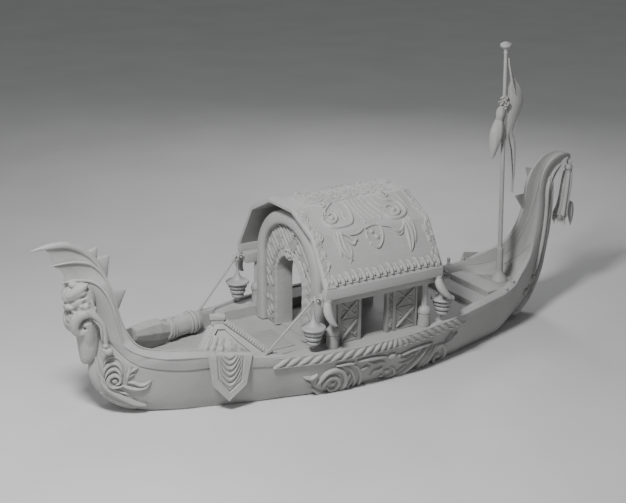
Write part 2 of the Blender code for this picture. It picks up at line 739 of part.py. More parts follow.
def stay(name, side, arm, rail):
    points = ((1.585, side * 1.484, 1.985), (2.56, side * 1.335, 1.02))
    return finish_object(carve(carve(tube(name, points, 0.018, 2), arm), rail), "rope", True)


def mast():
    """Raked pole: turned upright about its foot, then leant to the bow."""
    z = STERN_DECK_Z + GAP
    profile = ((0.0, 6.20), (0.09, 6.19), (0.115, 6.15), (0.10, 6.11), (0.05, 6.08), (0.035, 6.05),
               (0.042, 4.0), (0.050, 1.66), (0.075, 1.65), (0.085, 1.60), (0.090, 1.09), (0.11, 1.02),
               (0.17, 0.94), (0.185, 0.88), (0.185, 0.83), (0.0, 0.83))
    obj = turned("mast", profile, (0.0, 0.0, 0.0), 20)
    lean = Matrix.Translation((MAST_X, 0, z)) @ Matrix.Rotation(MAST_RAKE, 4, "Y") @ Matrix.Translation((0, 0, -z))
    obj.data.transform(lean)
    base = block("mast_cut", (MAST_X - 0.4, -0.4, z - 0.3), (MAST_X + 0.4, 0.4, z))
    return finish_object(combine(obj, [base], "DIFFERENCE"), "wood", True)


def mast_point(z):
    return MAST_X + math.tan(MAST_RAKE) * (z - STERN_DECK_Z)


def stern_deck():
    """Raised platform at the stern that carries the mast and the thwart."""
    rings = []
    for x, half in ((-4.62, 0.40), (-4.25, 0.49), (-3.90, 0.66), (-3.20, 0.90), (-2.90, 0.99)):
        rings.append([(x, -half, FLOOR_Z + GAP), (x, -half, STERN_DECK_Z), (x, half, STERN_DECK_Z),
                      (x, half, FLOOR_Z + GAP)])
    return finish_object(loft("stern_deck", rings), "wood")


def thwart():
    return finish_object(block("thwart", (-3.84, -0.68, STERN_DECK_Z + GAP), (-3.40, 0.68, 0.95), 0.01), "wood")


def tassel(spoon):
    body = turned("stern_tassel",
                  ((0.0, 3.47), (0.03, 3.46), (0.03, 3.38), (0.05, 3.34), (0.075, 3.24), (0.05, 3.14),
                   (0.055, 3.08), (0.075, 2.7), (0.10, 2.3), (0.125, 2.05), (0.0, 2.0)), (-6.09, 0.0, 0.0), 12)
    return finish_object(carve(body, spoon), "cloth", True)


def tassel_blade(neighbour):
    outline = ((-6.27, 1.88), (-6.33, 2.02), (-6.35, 2.20), (-6.30, 2.34), (-6.15, 2.38), (-6.15, 2.12),
               (-6.23, 2.04))
    return finish_object(carve(plate("tassel_blade", outline, "XZ", -0.03, 0.03), neighbour), "carved")


def flag_knot(pole):
    x = mast_point(4.86)
    body = turned("flag_knot", ((0.0, 5.02), (0.06, 5.01), (0.09, 4.95), (0.06, 4.88), (0.10, 4.82),
                                (0.07, 4.72), (0.0, 4.70)), (x, 0.0, 0.0), 14)
    return finish_object(carve(body, pole), "rope", True)


def flag(pole, knot):
    outline = ((mast_point(5.83), 5.83), (-4.24, 5.62), (-4.40, 5.34), (-4.57, 5.12), (-4.635, 4.83),
               (-4.56, 4.51), (-4.46, 4.24), (-4.51, 3.80), (-4.52, 3.24), (-4.49, 2.83), (-4.34, 3.75),
               (-4.24, 4.14), (-4.21, 4.56), (-4.23, 4.80), (-4.21, 5.20))
    return finish_object(carve(carve(plate("flag", outline, "XZ", -0.035, 0.035), pole), knot), "cloth")


def flag_tassel(pole, knot):
    path = ((-4.07, 4.78), (-4.05, 4.66), (-4.03, 4.56), (-3.99, 4.40), (-3.96, 4.15), (-3.90, 3.80), (-3.88, 3.66))
    points = [(x, 0.0, z) for x, z in path]
    body = tube("flag_tassel", points, 0.09, 2, (0.04, 0.06, 0.05, 0.09, 0.085, 0.035, 0.008))
    return finish_object(carve(carve(body, knot), pole), "cloth", True)


def drape_frame(side):
    """Triangular stand that leans inboard from the port rail to a block at its apex."""
    foot = ((2.33, 1.30, 1.050), (3.70, 0.86, 1.150))
    top = ((3.04, 0.62, 1.63), (3.30, 0.62, 1.63))
    down = Vector((0.0, 0.10, 0.12))
    rings = []
    for a, b in ((foot[0], foot[1]), (top[0], top[1])):
        rings.append([Vector(a), Vector(b), Vector(b) - down, Vector(a) - down])
    body = loft("drape_frame", rings)
    return finish_object(carve(body, side), "wood")


def banner(side):
    outline = ((3.652, 1.206), (3.573, 0.58), (3.274, 0.228), (2.942, 0.536), (2.825, 1.08))
    rings = [[], []]
    for x, z in outline:
        near = 1.075 + (3.62 - x) * 0.30
        for ring, off in zip(rings, (0.0, 0.045)):
            ring.append((x, near + off, z))
    return finish_object(carve(loft("banner", rings), side), "cloth")


def bolster(side):
    """Fat roll that leans on the starboard bulwark of the fore well, pressed against its inner face."""
    points = [(x, y, z) for x, y, z, radius in ROLL]
    radii = [radius for x, y, z, radius in ROLL]
    return finish_object(carve(tube("bolster_roll", points, 0.2, 3, radii), side), "cloth", True)


shell = hull()
spoon = stern()
stem = blade()
head = mask(stem)
boards = {}
for word, sign in SIDES:
    boards[sign] = bulwark("bulwark_" + word, sign)
    whisker("whisker_" + word, sign, head, stem)
    forefoot_carving("forefoot_carving_" + word, sign, shell)
    midship_carving("midship_carving_" + word, sign, shell)
    rope_moulding("rope_moulding_" + word, sign, boards[sign])
    feathers("stern_feathers_" + word, sign, spoon)
    beam("eave_beam_" + word, sign)
    screen("side_screen_" + word, sign)
for word, fore, side in CORNERS:
    post("cabin_post_" + word, fore, side)
    tusk("tusk_" + word, fore, side)
    arm = bracket("bracket_" + word, fore, side)
    if fore > 0:
        stay("stay_" + word[5:], side, arm, boards[side])
    lantern("lantern_" + word, fore, side)
roof()
end_wall("front_wall", 1)
end_wall("rear_wall", -1)
stern_deck()
thwart()
pole = mast()
knot = flag_knot(pole)
flag(pole, knot)
flag_tassel(pole, knot)
tassel_blade(tassel(spoon))
drape_frame(boards[1])
banner(boards[1])
bolster(boards[-1])
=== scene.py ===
from math import copysign, cos, exp, pi, radians, sin, tau

import bmesh
import bpy
from mathutils import Matrix, Vector, kdtree, noise
from mathutils.bvhtree import BVHTree


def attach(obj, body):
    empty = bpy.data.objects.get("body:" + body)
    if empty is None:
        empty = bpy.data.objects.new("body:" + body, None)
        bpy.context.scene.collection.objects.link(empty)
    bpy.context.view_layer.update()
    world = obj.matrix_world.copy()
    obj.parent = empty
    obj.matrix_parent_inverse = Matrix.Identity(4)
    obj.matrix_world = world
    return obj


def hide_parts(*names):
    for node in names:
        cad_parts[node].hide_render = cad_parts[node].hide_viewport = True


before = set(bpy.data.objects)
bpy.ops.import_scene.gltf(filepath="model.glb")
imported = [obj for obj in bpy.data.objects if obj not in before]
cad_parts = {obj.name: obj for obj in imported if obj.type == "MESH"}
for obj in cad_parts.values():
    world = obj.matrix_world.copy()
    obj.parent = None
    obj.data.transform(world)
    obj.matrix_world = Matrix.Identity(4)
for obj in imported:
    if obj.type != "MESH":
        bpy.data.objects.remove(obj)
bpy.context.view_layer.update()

BODY = "boat"
SIDES = (("port", 1), ("starboard", -1))
KEEL_Z = -0.2998
FLOOR_Z = 0.72
SIDE_DECK_Z = 0.930
WHITE = (1.0, 1.0, 1.0)


# Materials

def new_material(name):
    made = bpy.data.materials.new(name)
    made.use_nodes = True
    tree = made.node_tree
    shader = tree.nodes["Principled BSDF"]
    coords = tree.nodes.new("ShaderNodeTexCoord")
    return made, tree, shader, coords


def mapped(tree, coords, scale=WHITE):
    mapping = tree.nodes.new("ShaderNodeMapping")
    mapping.inputs["Scale"].default_value = scale
    tree.links.new(coords.outputs["Object"], mapping.inputs["Vector"])
    return mapping


def noise_node(tree, vector, scale, detail=4.0, rough=0.55):
    node = tree.nodes.new("ShaderNodeTexNoise")
    node.inputs["Scale"].default_value = scale
    node.inputs["Detail"].default_value = detail
    node.inputs["Roughness"].default_value = rough
    tree.links.new(vector.outputs[0], node.inputs["Vector"])
    return node


def ramp(tree, source, stops):
    node = tree.nodes.new("ShaderNodeValToRGB")
    node.color_ramp.elements[0].position = stops[0][0]
    node.color_ramp.elements[0].color = (*stops[0][1], 1.0)
    node.color_ramp.elements[1].position = stops[-1][0]
    node.color_ramp.elements[1].color = (*stops[-1][1], 1.0)
    for place, colour in stops[1:-1]:
        node.color_ramp.elements.new(place).color = (*colour, 1.0)
    tree.links.new(source.outputs[0], node.inputs["Fac"])
    return node


def bump(tree, shader, heights, distance):
    """Chains bump nodes: heights is a list of (node, distance factor)."""
    last = None
    for source, factor in heights:
        node = tree.nodes.new("ShaderNodeBump")
        node.inputs["Strength"].default_value = 1.0
        node.inputs["Distance"].default_value = distance * factor
        tree.links.new(source.outputs[0], node.inputs["Height"])
        if last:
            tree.links.new(last.outputs["Normal"], node.inputs["Normal"])
        last = node
    tree.links.new(last.outputs["Normal"], shader.inputs["Normal"])


def stained(tree, shader, colour, stain):
    """Gives the shader the colour, darkened by the stain's pattern."""
    node = tree.nodes.new("ShaderNodeMix")
    node.data_type = "RGBA"
    node.blend_type = "MULTIPLY"
    node.inputs["Factor"].default_value = 0.8
    tree.links.new(colour.outputs[0], node.inputs[6])
    tree.links.new(stain.outputs[0], node.inputs[7])
    tree.links.new(node.outputs[2], shader.inputs["Base Color"])


def varied_gloss(tree, shader, source, low, high):
    """Roughness between low and high, following the source's pattern."""
    gloss = tree.nodes.new("ShaderNodeMapRange")
    gloss.inputs["To Min"].default_value = low
    gloss.inputs["To Max"].default_value = high
    tree.links.new(source.outputs[0], gloss.inputs["Value"])
    tree.links.new(gloss.outputs[0], shader.inputs["Roughness"])


def shade(tone, factor):
    return tuple(c * factor for c in tone)


def wood(name, tone, grain, depth=0.0012, rough=0.60, dirt=0.85):
    """Primed timber: long soft grain, faint brush marks, uneven grey."""
    made, tree, shader, coords = new_material(name)
    along = mapped(tree, coords, grain)
    plain = mapped(tree, coords)
    fibres = noise_node(tree, along, 6.0, 6.0, 0.62)
    broad = noise_node(tree, plain, 1.3, 3.0, 0.5)
    fine = noise_node(tree, plain, 55.0, 5.0, 0.65)
    grain_colour = ramp(tree, fibres, ((0.30, shade(tone, 0.93)), (0.62, shade(tone, 1.05))))
    stain = ramp(tree, broad, ((0.25, shade(WHITE, dirt)), (0.55, WHITE)))
    stained(tree, shader, grain_colour, stain)
    varied_gloss(tree, shader, fibres, rough - 0.07, rough + 0.09)
    bump(tree, shader, ((fibres, 1.0), (fine, 0.5)), depth)
    shader.inputs["Specular IOR Level"].default_value = 0.35
    return made


def metal(name, tone):
    """Painted metal: orange-peel paint, slight rub marks."""
    made, tree, shader, coords = new_material(name)
    plain = mapped(tree, coords)
    peel = noise_node(tree, plain, 90.0, 3.0, 0.5)
    rub = noise_node(tree, plain, 7.0, 5.0, 0.6)
    colour = ramp(tree, rub, ((0.30, shade(tone, 0.90)), (0.70, shade(tone, 1.08))))
    tree.links.new(colour.outputs[0], shader.inputs["Base Color"])
    varied_gloss(tree, shader, rub, 0.50, 0.68)
    shader.inputs["Metallic"].default_value = 0.10
    bump(tree, shader, ((peel, 1.0),), 0.0006)
    return made


def cloth(name, tone):
    """Plain weave from two crossed sets of bands, with slubs and a soft sheen."""
    made, tree, shader, coords = new_material(name)
    plain = mapped(tree, coords)
    bands = []
    for axis in ("X", "Z"):
        wave = tree.nodes.new("ShaderNodeTexWave")
        wave.wave_type = "BANDS"
        wave.bands_direction = axis
        wave.inputs["Scale"].default_value = 260.0
        wave.inputs["Distortion"].default_value = 1.2
        wave.inputs["Detail"].default_value = 1.0
        tree.links.new(plain.outputs[0], wave.inputs["Vector"])
        bands.append(wave)
    slub = noise_node(tree, plain, 18.0, 4.0, 0.6)
    broad = noise_node(tree, plain, 3.0, 3.0, 0.5)
    yarn = ramp(tree, slub, ((0.3, shade(tone, 0.93)), (0.7, shade(tone, 1.05))))
    stained(tree, shader, yarn, ramp(tree, broad, ((0.25, shade(WHITE, 0.86)), (0.6, WHITE))))
    shader.inputs["Roughness"].default_value = 0.86
    shader.inputs["Sheen Weight"].default_value = 0.25
    shader.inputs["Sheen Roughness"].default_value = 0.5
    bump(tree, shader, ((bands[0], 1.0), (bands[1], 1.0), (slub, 2.0)), 0.0008)
    return made


def rope_material(name, tone):
    """Laid rope: fine fibres under a broad, slightly warm stain."""
    made, tree, shader, coords = new_material(name)
    plain = mapped(tree, coords)
    fibre = noise_node(tree, plain, 130.0, 5.0, 0.7)
    broad = noise_node(tree, plain, 5.0, 3.0, 0.5)
    strand = ramp(tree, fibre, ((0.25, shade(tone, 0.85)), (0.75, shade(tone, 1.08))))
    stained(tree, shader, strand, ramp(tree, broad, ((0.3, (0.88, 0.87, 0.85)), (0.6, WHITE))))
    shader.inputs["Roughness"].default_value = 0.9
    bump(tree, shader, ((fibre, 1.0),), 0.002)
    return made


HULL_MAT = wood("primed_hull_timber", (0.385, 0.385, 0.380), (0.5, 7.0, 12.0))
DECK_MAT = wood("primed_deck_timber", (0.372, 0.372, 0.367), (0.6, 14.0, 6.0), 0.0016, 0.64)
CARVED_MAT = wood("primed_carved_timber", (0.400, 0.400, 0.394), (1.6, 5.0, 5.0), 0.0012, 0.57, 0.82)
ROOF_MAT = wood("primed_roof_boards", (0.395, 0.395, 0.390), (0.6, 9.0, 9.0), 0.0012, 0.60)
LATTICE_MAT = wood("primed_lattice_slats", (0.350, 0.350, 0.345), (5.0, 5.0, 1.2), 0.0014, 0.63, 0.80)
POST_MAT = wood("primed_turned_timber", (0.385, 0.385, 0.380), (8.0, 8.0, 0.8), 0.0010, 0.55)
METAL_MAT = metal("painted_lantern_metal", (0.375, 0.375, 0.380))
CLOTH_MAT = cloth("woven_grey_cloth", (0.425, 0.425, 0.418))
ROPE_MAT = rope_material("laid_fibre_rope", (0.410, 0.405, 0.395))


# Mesh helpers

WELD_GAP = 0.00005


def around(count, closed=False):
    """The angles of a full turn in count steps; closed gives the first one again at the end."""
    return [tau * k / count for k in range(count + closed)]


class Piece:
    """Collects vertices and faces of one named piece."""

    def __init__(self, name):
        self.name = name
        self.verts = []
        self.faces = []

    def grid(self, rows, closed=False, cap_start=False, cap_end=False):
        base = len(self.verts)
        count = len(rows[0])
        for row in rows:
            self.verts.extend([tuple(p) for p in row])
        spans = count if closed else count - 1
        for r in range(len(rows) - 1):
            for c in range(spans):
                d = (c + 1) % count
                self.faces.append((base + r * count + c, base + r * count + d,
                                   base + (r + 1) * count + d, base + (r + 1) * count + c))
        if cap_start:
            self.faces.append(tuple(base + c for c in reversed(range(count))))
        if cap_end:
            last = base + (len(rows) - 1) * count
            self.faces.append(tuple(last + c for c in range(count)))

    def solid(self, rows):
        """A closed body from rings of points, capped at both ends."""
        self.grid(rows, closed=True, cap_start=True, cap_end=True)

    def add(self, verts, faces):
        base = len(self.verts)
        self.verts.extend([tuple(v) for v in verts])
        self.faces.extend([tuple(base + i for i in f) for f in faces])

    def take(self, bm):
        """Adds the mesh of bm and frees it."""
        bm.verts.index_update()
        self.add([v.co for v in bm.verts], [[v.index for v in f.verts] for f in bm.faces])
        bm.free()

    def mirrored(self):
        """Adds the copy of everything so far on the other side of the centreline."""
        base = len(self.verts)
        self.verts.extend([(x, -y, z) for x, y, z in self.verts[:base]])
        self.faces.extend([tuple(base + i for i in reversed(f)) for f in list(self.faces)])

    def build(self, material, body=BODY, angle=40.0, weld=True):
        mesh = bpy.data.meshes.new(self.name)
        mesh.from_pydata(self.verts, [], self.faces)
        bm = bmesh.new()
        bm.from_mesh(mesh)
        if weld:
            bmesh.ops.remove_doubles(bm, verts=bm.verts, dist=WELD_GAP)
            bmesh.ops.dissolve_degenerate(bm, edges=bm.edges, dist=0.00001)
        bmesh.ops.recalc_face_normals(bm, faces=bm.faces)
        bm.to_mesh(mesh)
        bm.free()
        mesh.polygons.foreach_set("use_smooth", [True] * len(mesh.polygons))
        if angle < 180:
            mesh.set_sharp_from_angle(angle=radians(angle))
        mesh.update()
        obj = bpy.data.objects.new(self.name, mesh)
        bpy.context.scene.collection.objects.link(obj)
        obj.data.materials.append(material)
        if body:
            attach(obj, body)
        return obj


def modified(obj, kind, **settings):
    """Adds a modifier, applies it and keeps the object."""
    modifier = obj.modifiers.new(kind.lower(), kind)
    for key, value in settings.items():
        setattr(modifier, key, value)
    bpy.context.view_layer.update()
    graph = bpy.context.evaluated_depsgraph_get()
    mesh = bpy.data.meshes.new_from_object(obj.evaluated_get(graph))
    obj.modifiers.clear()
    mats = list(obj.data.materials)
    obj.data = mesh
    mesh.materials.clear()
    for m in mats:
        mesh.materials.append(m)
    mesh.polygons.foreach_set("use_smooth", [True] * len(mesh.polygons))
    return obj


def smooth_path(points, per=6):
    """Catmull-Rom through the points."""
    pts = [Vector(p) for p in points]
    out = []
    for i in range(len(pts) - 1):
        p0, p1, p2, p3 = pts[max(i - 1, 0)], pts[i], pts[i + 1], pts[min(i + 2, len(pts) - 1)]
        for k in range(per):
            t = k / per
            out.append(0.5 * ((2 * p1) + (p2 - p0) * t + (2 * p0 - 5 * p1 + 4 * p2 - p3) * t * t
                              + (3 * p1 - p0 - 3 * p2 + p3) * t * t * t))
    out.append(pts[-1].copy())
    return out


def smooth_values(values, per=6):
    return [v.x for v in smooth_path([(a, 0, 0) for a in values], per)]


def frames(path):
    """Parallel-transported side and up vectors along a path."""
    tangents = []
    for i in range(len(path)):
        a = path[max(i - 1, 0)]
        b = path[min(i + 1, len(path) - 1)]
        t = (b - a)
        tangents.append(t.normalized() if t.length > 1e-9 else Vector((0, 0, 1)))
    seed = Vector((0, 0, 1)) if abs(tangents[0].z) < 0.9 else Vector((1, 0, 0))
    side = tangents[0].cross(seed).normalized()
    out = []
    for t in tangents:
        side = (side - t * side.dot(t)).normalized()
        out.append((t, side, t.cross(side).normalized()))
    return out


def tube(piece, points, radii, sides=12, per=5, twist=0.0, lobes=0, lobe_depth=0.0):
    """A round or lobed tube of changing radius."""
    path = smooth_path(points, per) if per > 1 else [Vector(p) for p in points]
    rr = smooth_values(radii, per) if per > 1 else list(radii)
    rows = []
    travelled = 0.0
    for i, (centre, (_, side, up)) in enumerate(zip(path, frames(path))):
        if i:
            travelled += (path[i] - path[i - 1]).length
        row = []
        for a in around(sides):
            r = max(rr[i], 0.0005)
            if lobes:
                r *= 1.0 + lobe_depth * cos(lobes * (a + twist * travelled))
            row.append(centre + side * (cos(a) * r) + up * (sin(a) * r))
        rows.append(row)
    piece.solid(rows)


def lathe(piece, profile, centre, steps=32, lean=None):
    """Turns (radius, height) about the vertical through centre; lean is a rotation matrix."""
    rows = []
    for r, z in profile:
        row = []
        for a in around(steps):
            p = Vector((r * cos(a), r * sin(a), z))
            if lean:
                p = lean @ p
            row.append((p.x + centre[0], p.y + centre[1], p.z + centre[2]))
        rows.append(row)
    piece.solid(rows)


def dense(profile, per=4):
    """Smooths a lathe profile; a point given twice stays a sharp corner."""
    runs = [[profile[0]]]
    for p in profile[1:]:
        if p == runs[-1][-1]:
            runs.append([p])
        else:
            runs[-1].append(p)
    out = []
    for run in runs:
        out += [(v.x, v.y) for v in smooth_path([(a, b, 0) for a, b in run], per)] if len(run) > 1 else run
    return [(max(r, 0.0002), z) for r, z in out]


def bevelled(bm, offset):
    bmesh.ops.bevel(bm, geom=bm.edges[:], offset=offset, segments=2, profile=0.6, affect="EDGES")


def slab(piece, low, high, bevel=0.006):
    """A board with rounded edges."""
    bm = bmesh.new()
    bmesh.ops.create_cube(bm, size=1.0)
    size = Vector(high) - Vector(low)
    bmesh.ops.scale(bm, vec=size, verts=bm.verts)
    bmesh.ops.translate(bm, vec=(Vector(high) + Vector(low)) / 2, verts=bm.verts)
    bevelled(bm, min(bevel, min(size) * 0.45))
    piece.take(bm)


def prism(piece, bottom, top, bevel):
    """A board between two like outlines, with rounded edges."""
    bm = bmesh.new()
    low = [bm.verts.new(p) for p in bottom]
    high = [bm.verts.new(p) for p in top]
    count = len(low)
    bm.faces.new(low[::-1])
    bm.faces.new(high)
    for k in range(count):
        n = (k + 1) % count
        bm.faces.new((low[k], low[n], high[n], high[k]))
    bmesh.ops.recalc_face_normals(bm, faces=bm.faces)
    bevelled(bm, bevel)
    piece.take(bm)


def tree_of(obj):
    verts = [obj.matrix_world @ v.co for v in obj.data.vertices]
    return BVHTree.FromPolygons(verts, [tuple(p.vertices) for p in obj.data.polygons])


def smooth_verts(bm, factor, times=1):
    for _ in range(times):
        bmesh.ops.smooth_vert(bm, verts=bm.verts, factor=factor, use_axis_x=True, use_axis_y=True,
                              use_axis_z=True)


def axes_at(x, y, z, origin):
    """The transform that has x, y and z as its axes and sits at origin."""
    return Matrix(((*x, 0), (*y, 0), (*z, 0), (*origin, 1))).transposed()


# Strokes of carving on a surface

def spiral(cu, cv, r0, r1, turns, start):
    """Points winding from radius r0 to r1; start in degrees, turns may be negative."""
    steps = max(10, int(abs(turns) * 18))
    out = []
    for k in range(steps + 1):
        t = k / steps
        a = radians(start) + tau * turns * t
        r = r0 + (r1 - r0) * t
        out.append((cu + r * cos(a), cv + r * sin(a)))
    return out


PROFILES = {
    "round": [(-1.0, -0.15), (-0.96, 0.10), (-0.80, 0.55), (-0.45, 0.90), (0.0, 1.0), (0.45, 0.90),
              (0.80, 0.55), (0.96, 0.10), (1.0, -0.15)],
    "leaf": [(-1.0, -0.15), (-0.95, 0.25), (-0.70, 0.80), (-0.35, 0.85), (-0.10, 0.45), (0.0, 0.35),
             (0.10, 0.45), (0.35, 0.85), (0.70, 0.80), (0.95, 0.25), (1.0, -0.15)],
    "flat": [(-1.0, -0.15), (-0.97, 0.60), (-0.88, 0.97), (-0.5, 1.0), (0.0, 1.0), (0.5, 1.0), (0.88, 0.97),
             (0.97, 0.60), (1.0, -0.15)],
    "blade": [(-1.0, -0.15), (-0.97, 0.22), (-0.5, 0.60), (-0.1, 0.97), (0.0, 1.0), (0.1, 0.97), (0.5, 0.60),
              (0.97, 0.22), (1.0, -0.15)],
    "scoop": [(-1.0, -0.15), (-0.96, 0.70), (-0.84, 1.0), (-0.60, 0.75), (-0.25, 0.45), (0.0, 0.38),
              (0.25, 0.45), (0.60, 0.75), (0.84, 1.0), (0.96, 0.70), (1.0, -0.15)],
    "double": [(-1.0, -0.15), (-0.94, 0.50), (-0.72, 0.95), (-0.50, 0.95), (-0.30, 0.45), (-0.12, 0.35),
               (0.0, 0.50), (0.12, 0.35), (0.30, 0.45), (0.50, 0.95), (0.72, 0.95), (0.94, 0.50),
               (1.0, -0.15)],
}


def stroke(piece, surf, points, widths, height, profile="round", per=4, smooth=True):
    """A raised ribbon along a path of surface coordinates. widths are half widths at the points."""
    path = [Vector((p[0], p[1], 0.0)) for p in points]
    ww = spread(widths, len(points))
    if smooth and len(path) > 2:
        path = smooth_path(path, per)
        ww = smooth_values(ww, per)
    rows = []
    total = len(path) - 1
    for i, p in enumerate(path):
        t = path[min(i + 1, total)] - path[max(i - 1, 0)]
        if t.length < 1e-9:
            t = Vector((1, 0, 0))
        t.normalize()
        n = Vector((-t.y, t.x, 0.0))
        w = max(ww[i], 0.0008)
        h = height * min(1.0, (w / max(max(ww), 1e-6)) ** 0.5 + 0.15)
        row = []
        for d, k in PROFILES[profile]:
            q = p + n * (d * w)
            place, normal = surf(q.x, q.y)
            row.append(place + normal * (h * k))
        rows.append(row)
    piece.grid(rows, cap_start=True, cap_end=True)


def spread(values, count):
    """Resamples a short list of numbers to count entries."""
    if len(values) == count:
        return list(values)
    out = []
    for i in range(count):
        t = i / max(count - 1, 1) * (len(values) - 1)
        k = min(int(t), len(values) - 2) if len(values) > 1 else 0
        f = t - k
        out.append(values[k] * (1 - f) + values[min(k + 1, len(values) - 1)] * f)
    return out


def boss(piece, surf, u, v, ru, rv, height):
    """A rounded knob on a surface, its rim sunk a little."""
    rings = 5
    rows = []
    for r in range(rings + 1):
        t = 1.0 - r / rings
        lift = height * max(0.0, 1 - t * t) ** 0.5 - (0.12 * height if r == 0 else 0.0)
        row = []
        for a in around(16):
            place, normal = surf(u + ru * t * cos(a), v + rv * t * sin(a))
            row.append(place + normal * lift)
        rows.append(row)
    piece.grid(rows, closed=True, cap_end=True)


def leaf(piece, surf, base, tip, width, height, bend=0.0, profile="leaf", count=9):
    """A pointed leaf from base to tip, bent sideways by bend times its length."""
    b = Vector((base[0], base[1], 0))
    t = Vector((tip[0], tip[1], 0))
    run = t - b
    n = Vector((-run.y, run.x, 0))
    pts = []
    ws = []
    for i in range(count):
        s = i / (count - 1)
        p = b + run * s + n * (bend * sin(pi * s))
        pts.append((p.x, p.y))
        ws.append(max(0.001, width * sin(pi * min(1.0, s * 0.86 + 0.12)) ** 0.8))
    ws[-1] = 0.001
    stroke(piece, surf, pts, ws, height, profile, per=2)


# Hull: one skin from the fan's tips to the stern tip
# Each station: keel or stem edge k (x, z), seam t (x, y, z), ridge c (x, y, z), inner edge a (x, y, z),
# centre g (x, z), fullness n, flare f, second rib b (x, y, z) or None, inner points i or None

def st(k, t, c, a, g, n=2.0, f=0.1, b=None, i=None):
    return dict(k=k, t=t, c=c, b=b, a=a, i=i, g=g, n=n, f=f)


def well(x, foot, a):
    """Inner side of a well: down from the inner edge a to the floor."""
    return ((x, a[1] - 0.025, a[2] - 0.05), (x, foot + 0.01, a[2] - 0.14), (x, foot, FLOOR_Z + 0.004))


def well_station(x, out, top, rise, keel, foot, seam):
    a = (x, out - 0.20, top + rise)
    edge = (x, out - 0.018, top - 0.055 - seam - 0.02)
    return st((x, keel), edge, (x, out, top), a, (x, FLOOR_Z), 4.0, 0.15, i=well(x, foot, a))


def deck_station(x, out, top, keel):
    a = (x, out - 0.075, top)
    inner = ((x, out - 0.085, SIDE_DECK_Z), (x, 1.225, SIDE_DECK_Z), (x, 1.215, FLOOR_Z + 0.002))
    return st((x, keel), (x, out - 0.02, 0.785), (x, out, top), a, (x, FLOOR_Z), 4.0, 0.15, i=inner)


